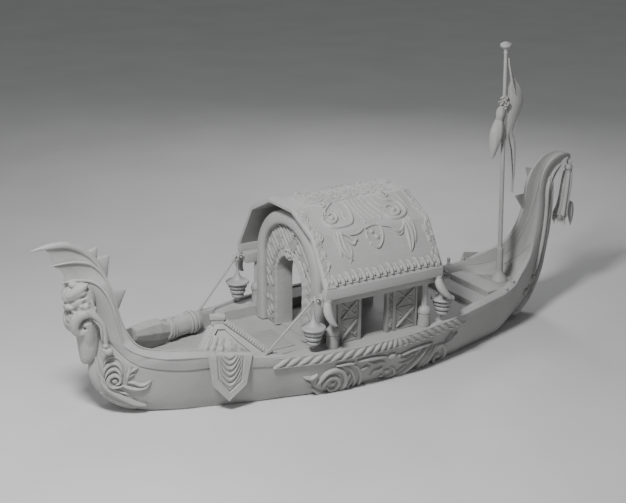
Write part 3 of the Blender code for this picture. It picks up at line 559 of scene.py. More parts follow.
STATIONS = [
    st((5.945, 2.720), (5.947, .010, 2.722), (5.950, .012, 2.730), (6.320, .030, 3.455), (6.325, 3.458),
       b=(6.160, .012, 3.085)),
    st((5.885, 2.713), (5.885, .018, 2.716), (5.880, .025, 2.735), (5.880, .065, 3.480), (5.885, 3.482),
       b=(5.900, .040, 3.100)),
    st((5.805, 2.700), (5.800, .030, 2.702), (5.780, .045, 2.740), (5.600, .090, 3.360), (5.615, 3.350),
       b=(5.680, .065, 3.085)),
    st((5.745, 2.670), (5.740, .035, 2.675), (5.650, .075, 2.732), (5.400, .110, 3.140), (5.430, 3.120),
       b=(5.460, .100, 3.020)),
    st((5.680, 2.610), (5.675, .040, 2.620), (5.470, .135, 2.700), (5.260, .140, 2.920), (5.310, 2.890),
       b=(5.310, .135, 2.880)),
    st((5.600, 2.490), (5.590, .055, 2.500), (5.320, .205, 2.580), (5.170, .165, 2.700), (5.240, 2.670),
       b=(5.195, .172, 2.690)),
    st((5.510, 2.340), (5.500, .070, 2.350), (5.200, .270, 2.360), (5.100, .195, 2.460), (5.190, 2.430),
       b=(5.112, .203, 2.452)),
    st((5.440, 2.090), (5.420, .085, 2.100), (5.120, .305, 2.080), (5.035, .235, 2.180), (5.140, 2.150),
       b=(5.045, .243, 2.170)),
    st((5.400, 1.810), (5.360, .110, 1.830), (5.060, .340, 1.780), (4.985, .300, 1.880), (5.110, 1.830),
       b=(4.994, .305, 1.870)),
    st((5.420, 1.530), (5.300, .165, 1.640), (5.030, .365, 1.580), (4.905, .360, 1.640), (5.060, 1.540),
       n=2.0, f=0.25),
    st((5.490, 1.290), (5.250, .200, 1.550), (5.010, .380, 1.460), (4.845, .400, 1.520), (4.990, 1.330),
       n=2.0, f=0.25),
    st((5.545, 1.060), (5.180, .245, 1.450), (4.930, .450, 1.380), (4.785, .435, 1.440), (4.930, 1.120),
       n=2.0, f=0.25),
    st((5.560, .860), (5.100, .300, 1.330), (4.840, .510, 1.310), (4.720, .465, 1.385), (4.860, .930), n=2.0,
       f=0.22),
    st((5.510, .650), (5.020, .370, 1.220), (4.750, .580, 1.270), (4.640, .500, 1.340), (4.800, .800), n=2.1,
       f=0.22),
    st((5.390, .430), (4.940, .450, 1.130), (4.660, .650, 1.240), (4.540, .540, 1.315), (4.700, .735), n=2.3,
       f=0.22),
    st((5.190, .220), (4.850, .520, 1.070), (4.570, .700, 1.220), (4.440, .580, 1.300), (4.580, .722), n=2.6,
       f=0.2),
    st((4.950, .060), (4.760, .590, 1.020), (4.470, .770, 1.200), (4.330, .630, 1.280), (4.440, .720), n=2.9,
       f=0.2, i=((4.36, .600, 1.20), (4.39, .56, .95), (4.41, .54, .724))),
    st((4.650, -.050), (4.560, .705, .970), (4.340, .860, 1.195), (4.210, .700, 1.270), (4.280, .720), n=3.2,
       f=0.18, i=((4.22, .675, 1.20), (4.24, .65, .98), (4.25, .63, .724))),
    st((4.300, -.120), (4.280, .840, .925), (4.140, .950, 1.190), (4.050, .750, 1.258), (4.070, .720), n=3.5,
       f=0.16, i=((4.05, .725, 1.20), (4.06, .705, 1.0), (4.06, .69, .724))),
    st((3.950, -.170), (3.950, .960, .900), (3.880, 1.010, 1.165), (3.850, .805, 1.235), (3.850, .720), n=3.8,
       f=0.15, i=well(3.85, .76, (3.85, .805, 1.235))),
    well_station(3.60, 1.070, 1.135, 0.070, -0.21, 0.81, 0.16),
    well_station(3.10, 1.250, 1.075, 0.060, -0.24, 0.995, 0.14),
    well_station(2.60, 1.405, 1.020, 0.040, -0.265, 1.15, 0.12),
    well_station(2.26, 1.492, .992, 0.020, -0.275, 1.235, 0.12),
    deck_station(2.06, 1.542, .985, -0.28),
    deck_station(1.60, 1.680, .983, -0.288),
    deck_station(1.10, 1.780, .978, -0.295),
    deck_station(0.60, 1.815, .970, -0.300),
    deck_station(0.10, 1.818, .967, -0.300),
    deck_station(-0.40, 1.812, .965, -0.300),
    deck_station(-0.90, 1.752, .965, -0.292),
    deck_station(-1.40, 1.658, .965, -0.283),
    deck_station(-1.80, 1.570, .965, -0.270),
    deck_station(-2.00, 1.525, .965, -0.262),
    well_station(-2.20, 1.470, .965, 0.020, -0.255, 1.21, 0.12),
    well_station(-2.50, 1.380, .968, 0.035, -0.242, 1.13, 0.12),
    well_station(-2.80, 1.290, .975, 0.045, -0.230, 1.03, 0.12),
    well_station(-3.20, 1.175, .985, 0.050, -0.205, 0.92, 0.10),
    well_station(-3.53, 1.080, 1.000, 0.055, -0.178, 0.83, 0.09),
    st((-3.88, -.140), (-3.90, .925, .950), (-3.90, .950, 1.070), (-3.92, .780, 1.120), (-3.90, .720), n=3.4,
       f=0.18, i=((-3.92, .755, 1.07), (-3.92, .72, .95), (-3.92, .70, .724))),
    st((-4.25, -.090), (-4.235, .775, 1.090), (-4.190, .800, 1.220), (-4.225, .650, 1.255), (-4.300, .730),
       n=2.7, f=0.25),
    st((-4.60, -.015), (-4.520, .635, 1.200), (-4.450, .660, 1.340), (-4.480, .540, 1.370), (-4.640, .760),
       n=2.2, f=0.30),
    st((-4.88, .110), (-4.740, .520, 1.320), (-4.650, .540, 1.470), (-4.680, .440, 1.495), (-4.900, .850),
       n=1.9, f=0.30),
    st((-5.11, .290), (-4.895, .430, 1.470), (-4.790, .450, 1.630), (-4.820, .370, 1.650), (-5.070, 1.020),
       n=1.8, f=0.28),
    st((-5.29, .550), (-5.010, .365, 1.660), (-4.890, .385, 1.810), (-4.925, .310, 1.820), (-5.210, 1.260),
       n=1.8, f=0.22),
    st((-5.41, .870), (-5.110, .320, 1.930), (-4.980, .338, 2.060), (-5.010, .270, 2.065), (-5.310, 1.580),
       n=1.9, f=0.15),
    st((-5.475, 1.210), (-5.170, .287, 2.220), (-5.040, .305, 2.320), (-5.067, .238, 2.320), (-5.380, 1.920),
       n=2.0, f=0.10),
    st((-5.530, 1.600), (-5.198, .263, 2.545), (-5.070, .283, 2.600), (-5.096, .220, 2.600), (-5.430, 2.260),
       n=2.0, f=0.05),
    st((-5.585, 2.050), (-5.202, .235, 2.815), (-5.075, .255, 2.850), (-5.100, .195, 2.860), (-5.465, 2.580),
       n=2.0, f=0.0),
    st((-5.612, 2.480), (-5.250, .210, 3.015), (-5.122, .230, 3.062), (-5.150, .175, 3.082), (-5.470, 2.830),
       n=2.0, f=0.0),
    st((-5.605, 2.830), (-5.325, .182, 3.165), (-5.208, .202, 3.232), (-5.232, .152, 3.258), (-5.490, 3.040),
       n=2.0, f=0.0),
    st((-5.625, 3.030), (-5.425, .158, 3.275), (-5.322, .180, 3.366), (-5.343, .135, 3.392), (-5.530, 3.200),
       n=2.0, f=0.0),
    st((-5.695, 3.180), (-5.525, .150, 3.370), (-5.436, .173, 3.464), (-5.452, .128, 3.490), (-5.600, 3.330),
       n=2.0, f=0.0),
    st((-5.800, 3.310), (-5.648, .140, 3.442), (-5.588, .161, 3.530), (-5.598, .116, 3.550), (-5.700, 3.425),
       n=2.0, f=0.0),
    st((-5.925, 3.400), (-5.795, .115, 3.480), (-5.765, .135, 3.556), (-5.770, .098, 3.572), (-5.830, 3.495),
       n=2.0, f=0.0),
    st((-6.045, 3.430), (-5.960, .072, 3.485), (-5.950, .085, 3.535), (-5.955, .060, 3.548), (-5.980, 3.515),
       n=2.0, f=0.0),
    st((-6.110, 3.440), (-6.090, .030, 3.468), (-6.085, .036, 3.490), (-6.090, .024, 3.502), (-6.095, 3.490),
       n=2.0, f=0.0),
]

SIDE_ROWS = 18
BAND_ROWS = 4
SHOULDER_ROWS = 5
INNER_ROWS = 4
STEPS = 5               # rows of the skin to a span between stations
FAN_STATIONS = 5        # spans that belong to the fan


def station_arrays():
    """Every numeric field of the stations resampled by Catmull-Rom."""
    keys = []
    for s in STATIONS:
        a = Vector(s["a"])
        c = Vector(s["c"])
        g = Vector((s["g"][0], 0.0, s["g"][1]))
        b = Vector(s["b"]) if s["b"] else a.lerp(c, 0.12)
        inner = [Vector(p) for p in s["i"] or ()]
        if not inner:
            for w in (radians(26.0), radians(50.0), radians(72.0)):
                xz = a.lerp(g, sin(w))
                inner.append(Vector((xz.x, a.y * cos(w), xz.z)))
        keel = Vector((s["k"][0], 0.0, s["k"][1]))
        keys.append([keel, Vector(s["t"]), c, b, a, *inner, g, Vector((s["n"], s["f"], 0.0))])
    return list(zip(*[smooth_path(column, STEPS) for column in zip(*keys)]))


def hull_skin():
    """Rows from the keel over the seam, the rail and the inner side to the centreline, mirrored."""
    rows = []
    for index, (k, t, c, b, a, i0, i1, i2, g, form) in enumerate(station_arrays()):
        n, f = form.x, form.y
        row = []
        inset = 0.022 * min(1.0, max(0.0, (index - 20) / 15))
        for j in range(SIDE_ROWS + 1):
            s = j / SIDE_ROWS
            s = s ** 1.25 * (1.0 - 0.018 / max(0.05, (t - k).length))
            full = (1 - (1 - s) ** n) ** (1 / n)
            p = k.lerp(t, s)
            p.y = max(0.0, (t.y - inset) * ((1 - f) * full + f * s))
            row.append(p)
        groove = 0.022 * min(1.0, index / 10.0) * max(0.0, 1.0 - index / 110.0)
        row.append(t + Vector((0.0, -inset - groove, 0.0)))
        for j in range(BAND_ROWS + 1):
            s = (j + 0.12 * (1 - j / BAND_ROWS)) / BAND_ROWS
            p = t.lerp(c, s)
            p.y += 0.010 * sin(pi * s)
            row.append(p)
        scallop = max(0.0, 1 - index / 6.0)
        for lo, hi, depth in ((c, b, 0.10), (b, a, 0.07)):
            for j in range(1, SHOULDER_ROWS + 1):
                s = j / SHOULDER_ROWS
                p = lo.lerp(hi, s)
                if index < FAN_STATIONS * STEPS:
                    gap = (hi - lo).length
                    p.y = max(0.008, p.y - min(0.022, gap * 0.08) * sin(pi * s))
                    p.x -= depth * scallop * sin(pi * s)
                else:
                    p.z += 0.012 * sin(pi * s) * (hi - lo).length / 0.2
                row.append(p)
        ends = [a, i0, i1, i2, g]
        for lo, hi in zip(ends, ends[1:]):
            row += [lo.lerp(hi, j / INNER_ROWS) for j in range(1, INNER_ROWS + 1)]
        row[-1].y = 0.0
        for p in row:
            p.z = max(p.z, KEEL_Z)
        rows.append(row)
    piece = Piece("hull_skin")
    piece.grid(rows)
    piece.mirrored()
    half = len(rows[0])
    count = half * len(rows)
    for end in (0, len(rows) - 1):
        base = end * half
        for j in range(half - 1):
            piece.faces.append((base + j, base + j + 1, count + base + j + 1, count + base + j))
    return piece


hull_obj = hull_skin().build(HULL_MAT, angle=32)
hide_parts("hull", "bulwark_port", "bulwark_starboard", "stem_fan", "stern_spoon")
hull_tree = tree_of(hull_obj)


def side_surface(sign):
    """Maps (x, z) to the hull's outer side seen square from that side."""
    def surf(x, z):
        hit = hull_tree.ray_cast(Vector((x, sign * 4.0, z)), Vector((0, -sign, 0)))
        if hit[0] is None:
            near = hull_tree.find_nearest(Vector((x, sign * 1.0, z)))
            return near[0], Vector((0, sign, 0))
        normal = hit[1]
        if normal.y * sign < 0:
            normal = -normal
        return hit[0], normal
    return surf


SIDE_SURF = {1: side_surface(1), -1: side_surface(-1)}


# Bow: ribs of the fan, spikes, mask, whiskers and carvings

def make_fan_ribs():
    piece = Piece("fan_ribs")
    head = STATIONS[:10]
    for key, radii, reach in (("c", (.010, .022, .028, .031, .032, .032, .031, .028, .022, .010), 10),
                              ("b", (.010, .022, .028, .029, .028, .024, .018, .010), 8)):
        pts = [Vector(s[key]) for s in head[:reach]]
        ends = pts[0] + (pts[0] - pts[1]).normalized() * .035
        tube(piece, [ends] + [p + Vector((0, .004, 0)) for p in pts], [.002] + list(radii), 12, 5)
    piece.mirrored()
    rows = []
    spine = [(6.536, 3.4200, .0090, .008), (6.44, 3.430, .026, .026), (6.32, 3.442, .040, .038),
             (6.12, 3.450, .066, .056), (5.93, 3.440, .086, .064), (5.75, 3.384, .102, .066),
             (5.58, 3.282, .116, .066), (5.42, 3.128, .128, .063), (5.30, 2.950, .142, .055),
             (5.21, 2.760, .160, .044), (5.14, 2.555, .184, .030), (5.08, 2.36, .208, .014)]
    path = smooth_path([(p[0], 0, p[1]) for p in spine], 5)
    wide = smooth_values([p[2] for p in spine], 5)
    tall = smooth_values([p[3] for p in spine], 5)
    for i, c in enumerate(path):
        t = (path[min(i + 1, len(path) - 1)] - path[max(i - 1, 0)]).normalized()
        n = Vector((-t.z, 0, t.x))
        if n.z < 0:
            n = -n
        row = []
        for a in around(20):
            ca, sa = cos(a), sin(a)
            lift = copysign(abs(sa) ** .8, sa) * tall[i]
            row.append(c + Vector((0, 1, 0)) * (copysign(abs(ca) ** .8, ca) * wide[i]) + n * lift)
        rows.append(row)
    piece.solid(rows)
    made = piece.build(CARVED_MAT, angle=50)


def thorn(piece, base_a, base_b, tip, thick, y=0.0):
    """A flat pointed spike from its base edge to its tip, in the (x, z) plane."""
    a, b, t = (Vector((p[0], y, p[1])) for p in (base_a, base_b, tip))
    rows = []
    for i in range(13):
        s = i / 12
        centre = ((a + b) / 2).lerp(t, s)
        half = (a - b) / 2 * (1 - s)
        th = max(thick * (1 - s) ** .7, .002)
        rows.append([centre + half * cos(w) + Vector((0, th * sin(w), 0)) for w in around(14)])
    piece.solid(rows)


def make_bow_spikes():
    piece = Piece("bow_spikes")
    thorn(piece, (5.60, 3.215), (5.290, 2.960), (5.271, 3.300), .056)
    thorn(piece, (5.38, 3.104), (5.112, 2.580), (5.042, 3.092), .056)
    thorn(piece, (5.08, 2.440), (4.945, 1.900), (4.738, 2.358), .056)
    made = piece.build(CARVED_MAT, angle=50)


def curve_tree(path):
    pts = smooth_path(path, 8)
    tree = kdtree.KDTree(len(pts))
    for i, p in enumerate(pts):
        tree.insert(p, i)
    tree.balance()
    return tree


def make_mask():
    """The carved face at the stem: lumps and rolls fused, smoothed, then cut with grooves."""
    piece = Piece("carved_mask")

    def ball(x, y, z, rx, ry, rz, lean=0.0):
        turn = Matrix.Rotation(radians(lean), 3, "Y") if lean else None
        blob(piece, (x, y, z), (rx, ry, rz), turn, 20, 12)

    def roll(points, radii):
        tube(piece, points, radii, 14, 6)

    ball(5.645, .10, 2.36, .235, .200, .340)
    ball(5.68, .08, 2.58, .170, .160, .130)
    ball(5.83, .06, 2.50, .135, .110, .165, -20)
    ball(5.905, .035, 2.43, .085, .080, .110)
    ball(5.895, .04, 2.265, .085, .085, .070)
    ball(5.880, .10, 2.255, .052, .052, .048)
    ball(5.930, .03, 2.215, .042, .050, .040)
    roll([(5.935, .02, 2.44), (5.895, .10, 2.485), (5.815, .175, 2.560), (5.715, .235, 2.640),
          (5.625, .262, 2.705), (5.600, .268, 2.735)],
         [.050, .072, .088, .082, .045, .008])
    roll([(5.930, .05, 2.375), (5.868, .13, 2.440), (5.775, .205, 2.520), (5.690, .252, 2.560),
          (5.632, .272, 2.560)],
         [.035, .052, .066, .060, .020])
    roll([(5.89, .04, 2.62), (5.80, .13, 2.67), (5.70, .20, 2.715), (5.63, .235, 2.728)],
         [.030, .042, .036, .008])
    ball(5.755, .195, 2.375, .062, .058, .050)
    roll([(5.815, .150, 2.375), (5.760, .205, 2.415), (5.690, .250, 2.432), (5.605, .288, 2.408)],
         [.020, .034, .040, .012])
    roll([(5.825, .150, 2.330), (5.765, .210, 2.318), (5.700, .255, 2.350)], [.016, .026, .014])
    ball(5.720, .245, 2.310, .075, .060, .055)
    ball(5.655, .275, 2.285, .060, .052, .060)
    roll([(5.580, .250, 2.500), (5.560, .262, 2.420), (5.538, .276, 2.330), (5.512, .286, 2.250)],
         [.010, .022, .034, .024])
    ball(5.505, .285, 2.215, .052, .040, .062)
    ball(5.850, .055, 2.085, .072, .070, .056)
    ball(5.884, .030, 2.010, .060, .060, .056)
    ball(5.880, .030, 1.890, .056, .056, .066)
    ball(5.836, .045, 1.800, .050, .060, .050)
    ball(5.62, .10, 2.02, .180, .160, .190)
    ball(5.820, .100, 2.700, .085, .100, .065)
    ball(5.850, .105, 2.180, .060, .070, .040)
    roll([(5.478, .250, 2.137), (5.578, .235, 2.141), (5.730, .200, 2.125), (5.817, .155, 2.021),
          (5.837, .130, 1.886), (5.798, .135, 1.780), (5.732, .160, 1.741), (5.678, .185, 1.757),
          (5.661, .200, 1.797)],
         [.070, .100, .112, .114, .106, .088, .066, .046, .026])
    roll([(5.660, .270, 2.225), (5.570, .292, 2.150), (5.480, .315, 2.045), (5.405, .330, 1.930),
          (5.375, .335, 1.800)],
         [.060, .068, .066, .058, .030])
    roll([(5.580, 0, 2.02), (5.560, 0, 1.82), (5.545, 0, 1.62), (5.540, 0, 1.42), (5.550, 0, 1.28),
          (5.578, 0, 1.18), (5.600, 0, 1.105), (5.606, 0, 1.060)],
         [.250, .236, .216, .200, .178, .146, .100, .050])
    roll([(5.62, .13, 1.95), (5.585, .12, 1.70), (5.555, .09, 1.48), (5.555, .05, 1.30), (5.590, .02, 1.17)],
         [.150, .136, .112, .080, .040])
    piece.mirrored()
    obj = piece.build(CARVED_MAT, angle=180, weld=False)
    modified(obj, "REMESH", mode="VOXEL", voxel_size=.0125)
    mesh = obj.data
    bm = bmesh.new()
    bm.from_mesh(mesh)
    smooth_verts(bm, .5, 4)
    bm.normal_update()
    cuts = [
        ([(5.950, .00, 2.158), (5.937, .03, 2.156), (5.890, .09, 2.165), (5.847, .14, 2.174),
          (5.795, .20, 2.262), (5.747, .24, 2.325), (5.679, .28, 2.370)], .036, .062),
        ([(5.955, .00, 2.345), (5.920, .08, 2.370), (5.865, .16, 2.385), (5.800, .21, 2.430),
          (5.720, .27, 2.475), (5.645, .30, 2.490)],
         .022, .034),
        ([(5.920, .02, 2.560), (5.860, .12, 2.590), (5.780, .20, 2.650), (5.700, .25, 2.700)], .018, .018),
        ([(5.93, .00, 2.51), (5.88, .10, 2.52), (5.80, .19, 2.585), (5.72, .25, 2.640)], .014, .012),
        ([(5.690, .235, 1.845), (5.742, .225, 1.850), (5.753, .215, 1.925), (5.722, .230, 1.992),
          (5.668, .255, 2.028), (5.610, .280, 2.040), (5.552, .300, 2.040), (5.500, .310, 2.005),
          (5.466, .315, 1.940), (5.448, .320, 1.860), (5.446, .320, 1.760)], .028, .075),
        ([(5.840, .26, 2.210), (5.870, .19, 2.110), (5.905, .12, 2.040), (5.955, .08, 1.97)], .018, .024),
        ([(5.880, .14, 1.950), (5.865, .16, 1.850), (5.810, .19, 1.760)], .018, .024),
        ([(5.720, .31, 2.270), (5.700, .33, 2.235), (5.655, .335, 2.225)], .014, .016),
        ([(5.585, .29, 2.330), (5.560, .31, 2.270), (5.545, .32, 2.200)], .014, .024),
    ]
    for k, (y0, y1) in enumerate(((.04, .02), (.12, .05), (.19, .09), (.25, .13))):
        cuts.append(([(5.90 - y0 * .5, y0, 1.74), (5.85 - y0 * .6, y0 * .95, 1.60),
                      (5.80 - y1, (y0 + y1) / 2, 1.42), (5.74 - y1, y1, 1.25)], .014, .009))
    for k in range(4):
        x = 5.62 - .055 * k
        cuts.append(([(x, .30, 1.90), (x + .005, .27, 1.70), (x + .010, .22, 1.50), (x + .02, .15, 1.34)],
                     .012, .007))
    trees = [(curve_tree(path), width, depth) for path, width, depth in cuts]
    shift = []
    for v in bm.verts:
        p = Vector((v.co.x, abs(v.co.y), v.co.z))
        down = 0.0
        for tree, width, depth in trees:
            near = tree.find(p)
            if near[2] is not None and near[2] < width * 2.2:
                down = max(down, depth * exp(-(near[2] / width) ** 2))
        fine = .0022 * noise.noise(v.co * 14.0)
        shift.append(v.normal * (fine - down))
    for v, s in zip(bm.verts, shift):
        v.co += s
    smooth_verts(bm, .35)
    bm.to_mesh(mesh)
    bm.free()
    mesh.polygons.foreach_set("use_smooth", [True] * len(mesh.polygons))
    mesh.update()
    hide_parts("dragon_mask")


def make_whisker(side, sy):
    piece = Piece("whisker_strand_" + side)
    tube(piece, [(5.600, .275, 2.215), (5.540, .318, 2.140), (5.460, .345, 2.040), (5.388, .362, 1.925),
                 (5.352, .368, 1.790), (5.345, .366, 1.640), (5.340, .362, 1.520)],
         [.040, .050, .052, .050, .046, .046, .040], 14, 6)
    tube(piece, [(5.560, .30, 2.04), (5.480, .335, 1.955), (5.425, .350, 1.860), (5.412, .352, 1.720),
                 (5.405, .345, 1.600)],
         [.012, .022, .026, .024, .012], 12, 5)
    blob(piece, (5.345, .362, 1.490), (.058, .056, .050), None, 16, 9)
    blob(piece, (5.312, .362, 1.452), (.040, .044, .040), None, 14, 8)
    blob(piece, (5.300, .362, 1.372), (.094, .086, .076), None, 20, 12)
    blob(piece, (5.372, .352, 1.405), (.046, .050, .050), None, 14, 8)
    if sy < 0:
        piece.verts = [(v[0], -v[1], v[2]) for v in piece.verts]
        piece.faces = [tuple(reversed(f)) for f in piece.faces]
    made = piece.build(CARVED_MAT, angle=70)
    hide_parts("whisker_" + side)


def make_forefoot(side, sy):
    piece = Piece("forefoot_scroll_" + side)
    s = SIDE_SURF[sy]
    h = .066
    stroke(piece, s, [(5.34, 1.02), (5.31, 1.12), (5.23, 1.19), (5.13, 1.19), (5.05, 1.11), (5.0, .96),
                      (5.0, .80)],
           [.007, .017, .021, .021, .021, .017, .007], h * .6)
    stroke(piece, s, [(5.35, .86), (5.33, .97), (5.25, 1.06), (5.15, 1.08), (5.08, 1.01), (5.05, .87)],
           [.012, .031, .038, .038, .033, .012], h)
    stroke(piece, s, [(5.33, .79), (5.30, .89), (5.24, .955), (5.16, .975), (5.10, .91), (5.07, .80)],
           [.012, .028, .035, .035, .031, .012], h * 1.1)
    stroke(piece, s, [(5.05, .66), (5.16, .625), (5.245, .64), (5.285, .73), (5.255, .82), (5.17, .86),
                      (5.095, .80), (5.11, .71), (5.17, .685)],
           [.017, .031, .035, .040, .042, .042, .038, .028, .014], h * 1.3)
    boss(piece, s, 5.185, .745, .055, .055, .060)
    stroke(piece, s, [(5.46, 1.24), (5.44, 1.06), (5.42, .89), (5.36, .76), (5.31, .68)],
           [.009, .026, .031, .026, .009], h * .7)
    stroke(piece, s, [(5.38, 1.29), (5.36, 1.11), (5.36, .95), (5.33, .84)], [.007, .021, .021, .007], h * .6)
    stroke(piece, s, [(4.99, .70), (4.975, .82), (4.93, .93), (4.91, 1.03)], [.014, .042, .040, .009], h,
           "blade")
    stroke(piece, s, [(4.955, .88), (4.88, .945), (4.80, 1.00)], [.014, .035, .007], h, "blade")
    stroke(piece, s, [(4.965, .80), (4.90, .86), (4.86, .88)], [.012, .026, .007], h * .8, "blade")
    stroke(piece, s, [(5.07, .65), (4.96, .60), (4.84, .565), (4.74, .575), (4.66, .62), (4.59, .74)],
           [.014, .040, .052, .050, .038, .007], h, "blade")
    stroke(piece, s, [(4.98, .72), (4.87, .70), (4.79, .655), (4.70, .655), (4.60, .735)],
           [.012, .031, .035, .031, .007], h, "round")
    stroke(piece, s, [(5.41, .86), (5.38, .72), (5.31, .60), (5.19, .49), (5.03, .37), (4.85, .26),
                      (4.64, .19)],
           [.012, .040, .057, .064, .061, .050, .007], h * 1.25, "blade")
    stroke(piece, s, [(5.33, .70), (5.24, .60), (5.10, .52), (4.96, .46)], [.007, .019, .019, .007], h * .7)
    for row in range(5):
        for k in range(13 - row):
            t = (k + .5 * (row % 2) + .5) / 13
            x = 5.44 - .66 * t - .030 * row
            z = .50 - .42 * t ** .85 - .058 * row
            if s(x, z)[0].y * sy < .05:
                continue
            leaf(piece, s, (x + .030, z + .020), (x - .032, z - .024), .034, .014, .0, "round", 5)
    made = piece.build(CARVED_MAT, angle=60)
    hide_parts("forefoot_carving_" + side)


def make_midship(side, sy):
    piece = Piece("midship_scroll_" + side)
    s = SIDE_SURF[sy]
    h = .074
    stroke(piece, s, [(1.50, .26), (1.44, .36), (1.35, .49), (1.22, .55), (1.10, .54), (.98, .45), (.90, .30),
                      (.88, .15), (.95, .0), (1.10, -.065), (1.28, -.02), (1.46, .08), (1.60, .22)],
           [.015, .042, .055, .057, .055, .052, .052, .052, .052, .052, .050, .037, .012], h)
    stroke(piece, s, [(1.36, .15), (1.36, .27), (1.27, .38), (1.15, .38), (1.05, .29), (1.03, .16),
                      (1.10, .07), (1.21, .09), (1.26, .17)],
           [.012, .037, .045, .045, .042, .042, .037, .027, .010], h * .95)
    boss(piece, s, 1.165, .225, .060, .060, .060)
    stroke(piece, s, [(1.80, .50), (1.73, .455), (1.64, .44), (1.53, .52)], [.007, .042, .042, .010], h,
           "blade")
    stroke(piece, s, [(1.76, .42), (1.66, .32), (1.58, .24)], [.007, .032, .010], h * .8, "blade")
    stroke(piece, s, [(1.56, -.12), (1.36, -.10), (1.16, -.10), (.98, .02), (.88, .18), (.84, .40)],
           [.010, .040, .045, .040, .032, .012], h, "blade")
    stroke(piece, s, [(1.28, -.18), (1.08, -.16), (.90, -.08), (.79, .06), (.74, .28)],
           [.007, .035, .037, .032, .010], h * .85, "blade")
    stroke(piece, s, [(1.02, .62), (.86, .52), (.75, .36), (.66, .16), (.66, .0)],
           [.010, .030, .032, .027, .010], h * .8)
    stroke(piece, s, [(.88, .66), (.70, .52), (.58, .34), (.53, .14), (.56, -.04)],
           [.010, .030, .032, .027, .010], h * .8)
    stroke(piece, s, [(1.18, .66), (.96, .655), (.76, .635)], [.010, .032, .010], h)
    stroke(piece, s, [(.70, .66), (.50, .655), (.25, .635), (.02, .61)], [.012, .040, .042, .015], h)
    boss(piece, s, -.12, .575, .120, .080, .075)
    boss(piece, s, -.30, .545, .060, .050, .055)
    stroke(piece, s, [(-.36, .56), (-.60, .59), (-.93, .60), (-1.20, .60)], [.015, .037, .035, .012], h)
    stroke(piece, s, [(.58, .43), (.47, .48), (.38, .44)], [.007, .032, .007], h * .8, "blade")
    stroke(piece, s, [(.40, .56), (.28, .50), (.16, .52), (.02, .47)], [.007, .032, .032, .007], h * .7,
           "blade")
    stroke(piece, s, [(.33, .23), (.24, .31), (.14, .31), (.06, .38)], [.007, .037, .035, .007], h * .8,
           "blade")
    boss(piece, s, -.08, .22, .075, .060, .065)
    boss(piece, s, .02, .13, .045, .045, .050)
    stroke(piece, s, [(-.17, .30), (-.26, .22), (-.30, .10), (-.24, .0)], [.010, .032, .032, .010], h * .8)
    stroke(piece, s, [(.38, .02), (.20, .015), (.05, .03), (.02, -.09)], [.012, .035, .032, .010], h * .9)
    stroke(piece, s, [(.36, -.03), (.30, -.13), (.24, -.20)], [.012, .030, .007], h * .8)
    stroke(piece, s, [(.42, -.20), (.18, -.17), (-.05, -.12), (-.30, -.04), (-.52, .06), (-.72, .20),
                      (-.90, .38), (-1.06, .55)],
           [.012, .042, .050, .052, .052, .052, .047, .015], h * 1.15)
    stroke(piece, s, [(-.10, .02), (-.24, .08), (-.40, .13), (-.56, .26)], [.007, .032, .032, .010], h * .8,
           "blade")
    stroke(piece, s, [(-.38, .46), (-.52, .44), (-.66, .48), (-.80, .52)], [.007, .035, .035, .010], h * .8,
           "blade")
    stroke(piece, s, [(-.36, .34), (-.50, .32), (-.64, .36), (-.76, .42)], [.007, .030, .030, .010], h * .7,
           "blade")
    stroke(piece, s, [(-.94, .0), (-1.00, .16), (-1.06, .32), (-1.22, .52)], [.010, .032, .035, .012], h)
    stroke(piece, s, [(-1.04, -.04), (-1.10, .12), (-1.16, .30), (-1.34, .50)], [.010, .030, .032, .012], h)
    stroke(piece, s, [(-1.16, -.02), (-1.19, .14), (-1.24, .30), (-1.38, .43), (-1.54, .42), (-1.66, .28),
                      (-1.69, .10), (-1.60, -.03), (-1.46, .0), (-1.38, .12), (-1.42, .23), (-1.50, .24)],
           [.010, .037, .045, .047, .047, .045, .042, .037, .035, .030, .022, .010], h)
    boss(piece, s, -1.515, .155, .050, .055, .050)
    stroke(piece, s, [(-1.56, .46), (-1.70, .46), (-1.84, .53), (-1.95, .62)], [.010, .040, .042, .007],
           h * .9, "blade")
    stroke(piece, s, [(-1.62, .52), (-1.72, .58), (-1.80, .66)], [.007, .030, .007], h * .8, "blade")
    leaf(piece, s, (-.42, -.04), (-.66, .02), .034, .030, -.10)
    leaf(piece, s, (.10, -.16), (-.14, -.20), .030, .030, .10)
    made = piece.build(CARVED_MAT, angle=60)
    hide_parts("midship_carving_" + side)


# Place along the boat and half breadth of the rail's ridge, from astern to x 3.10
RAIL = [(-4.25, .800)] + [station["c"][:2] for station in STATIONS[39:20:-1]]


def rail_out(x):
    """Half breadth of the rail's outer ridge at x."""
    for a, b in zip(RAIL, RAIL[1:]):
        if x <= b[0]:
            t = max(0.0, (x - a[0]) / (b[0] - a[0]))
            return a[1] + (b[1] - a[1]) * t
    return RAIL[-1][1]


# Centre, lean and half width of each slanted bar, from the bow aft
BARS = ([(2.245, .24, .092), (2.030, .24, .092), (1.805, .24, .092), (1.590, .24, .090), (1.385, .24, .090),
         (1.170, .235, .092), (.935, .235, .095), (.700, .230, .092), (.480, .220, .084), (.288, .170, .074),
         (.125, .120, .065), (-.012, .080, .060), (-.138, .040, .058), (-.265, -.050, .060),
         (-.400, -.140, .064)]
        + [(x, -.235, .084) for x in (-.535, -.725, -.920, -1.110, -1.310, -1.500, -1.700, -1.900)])


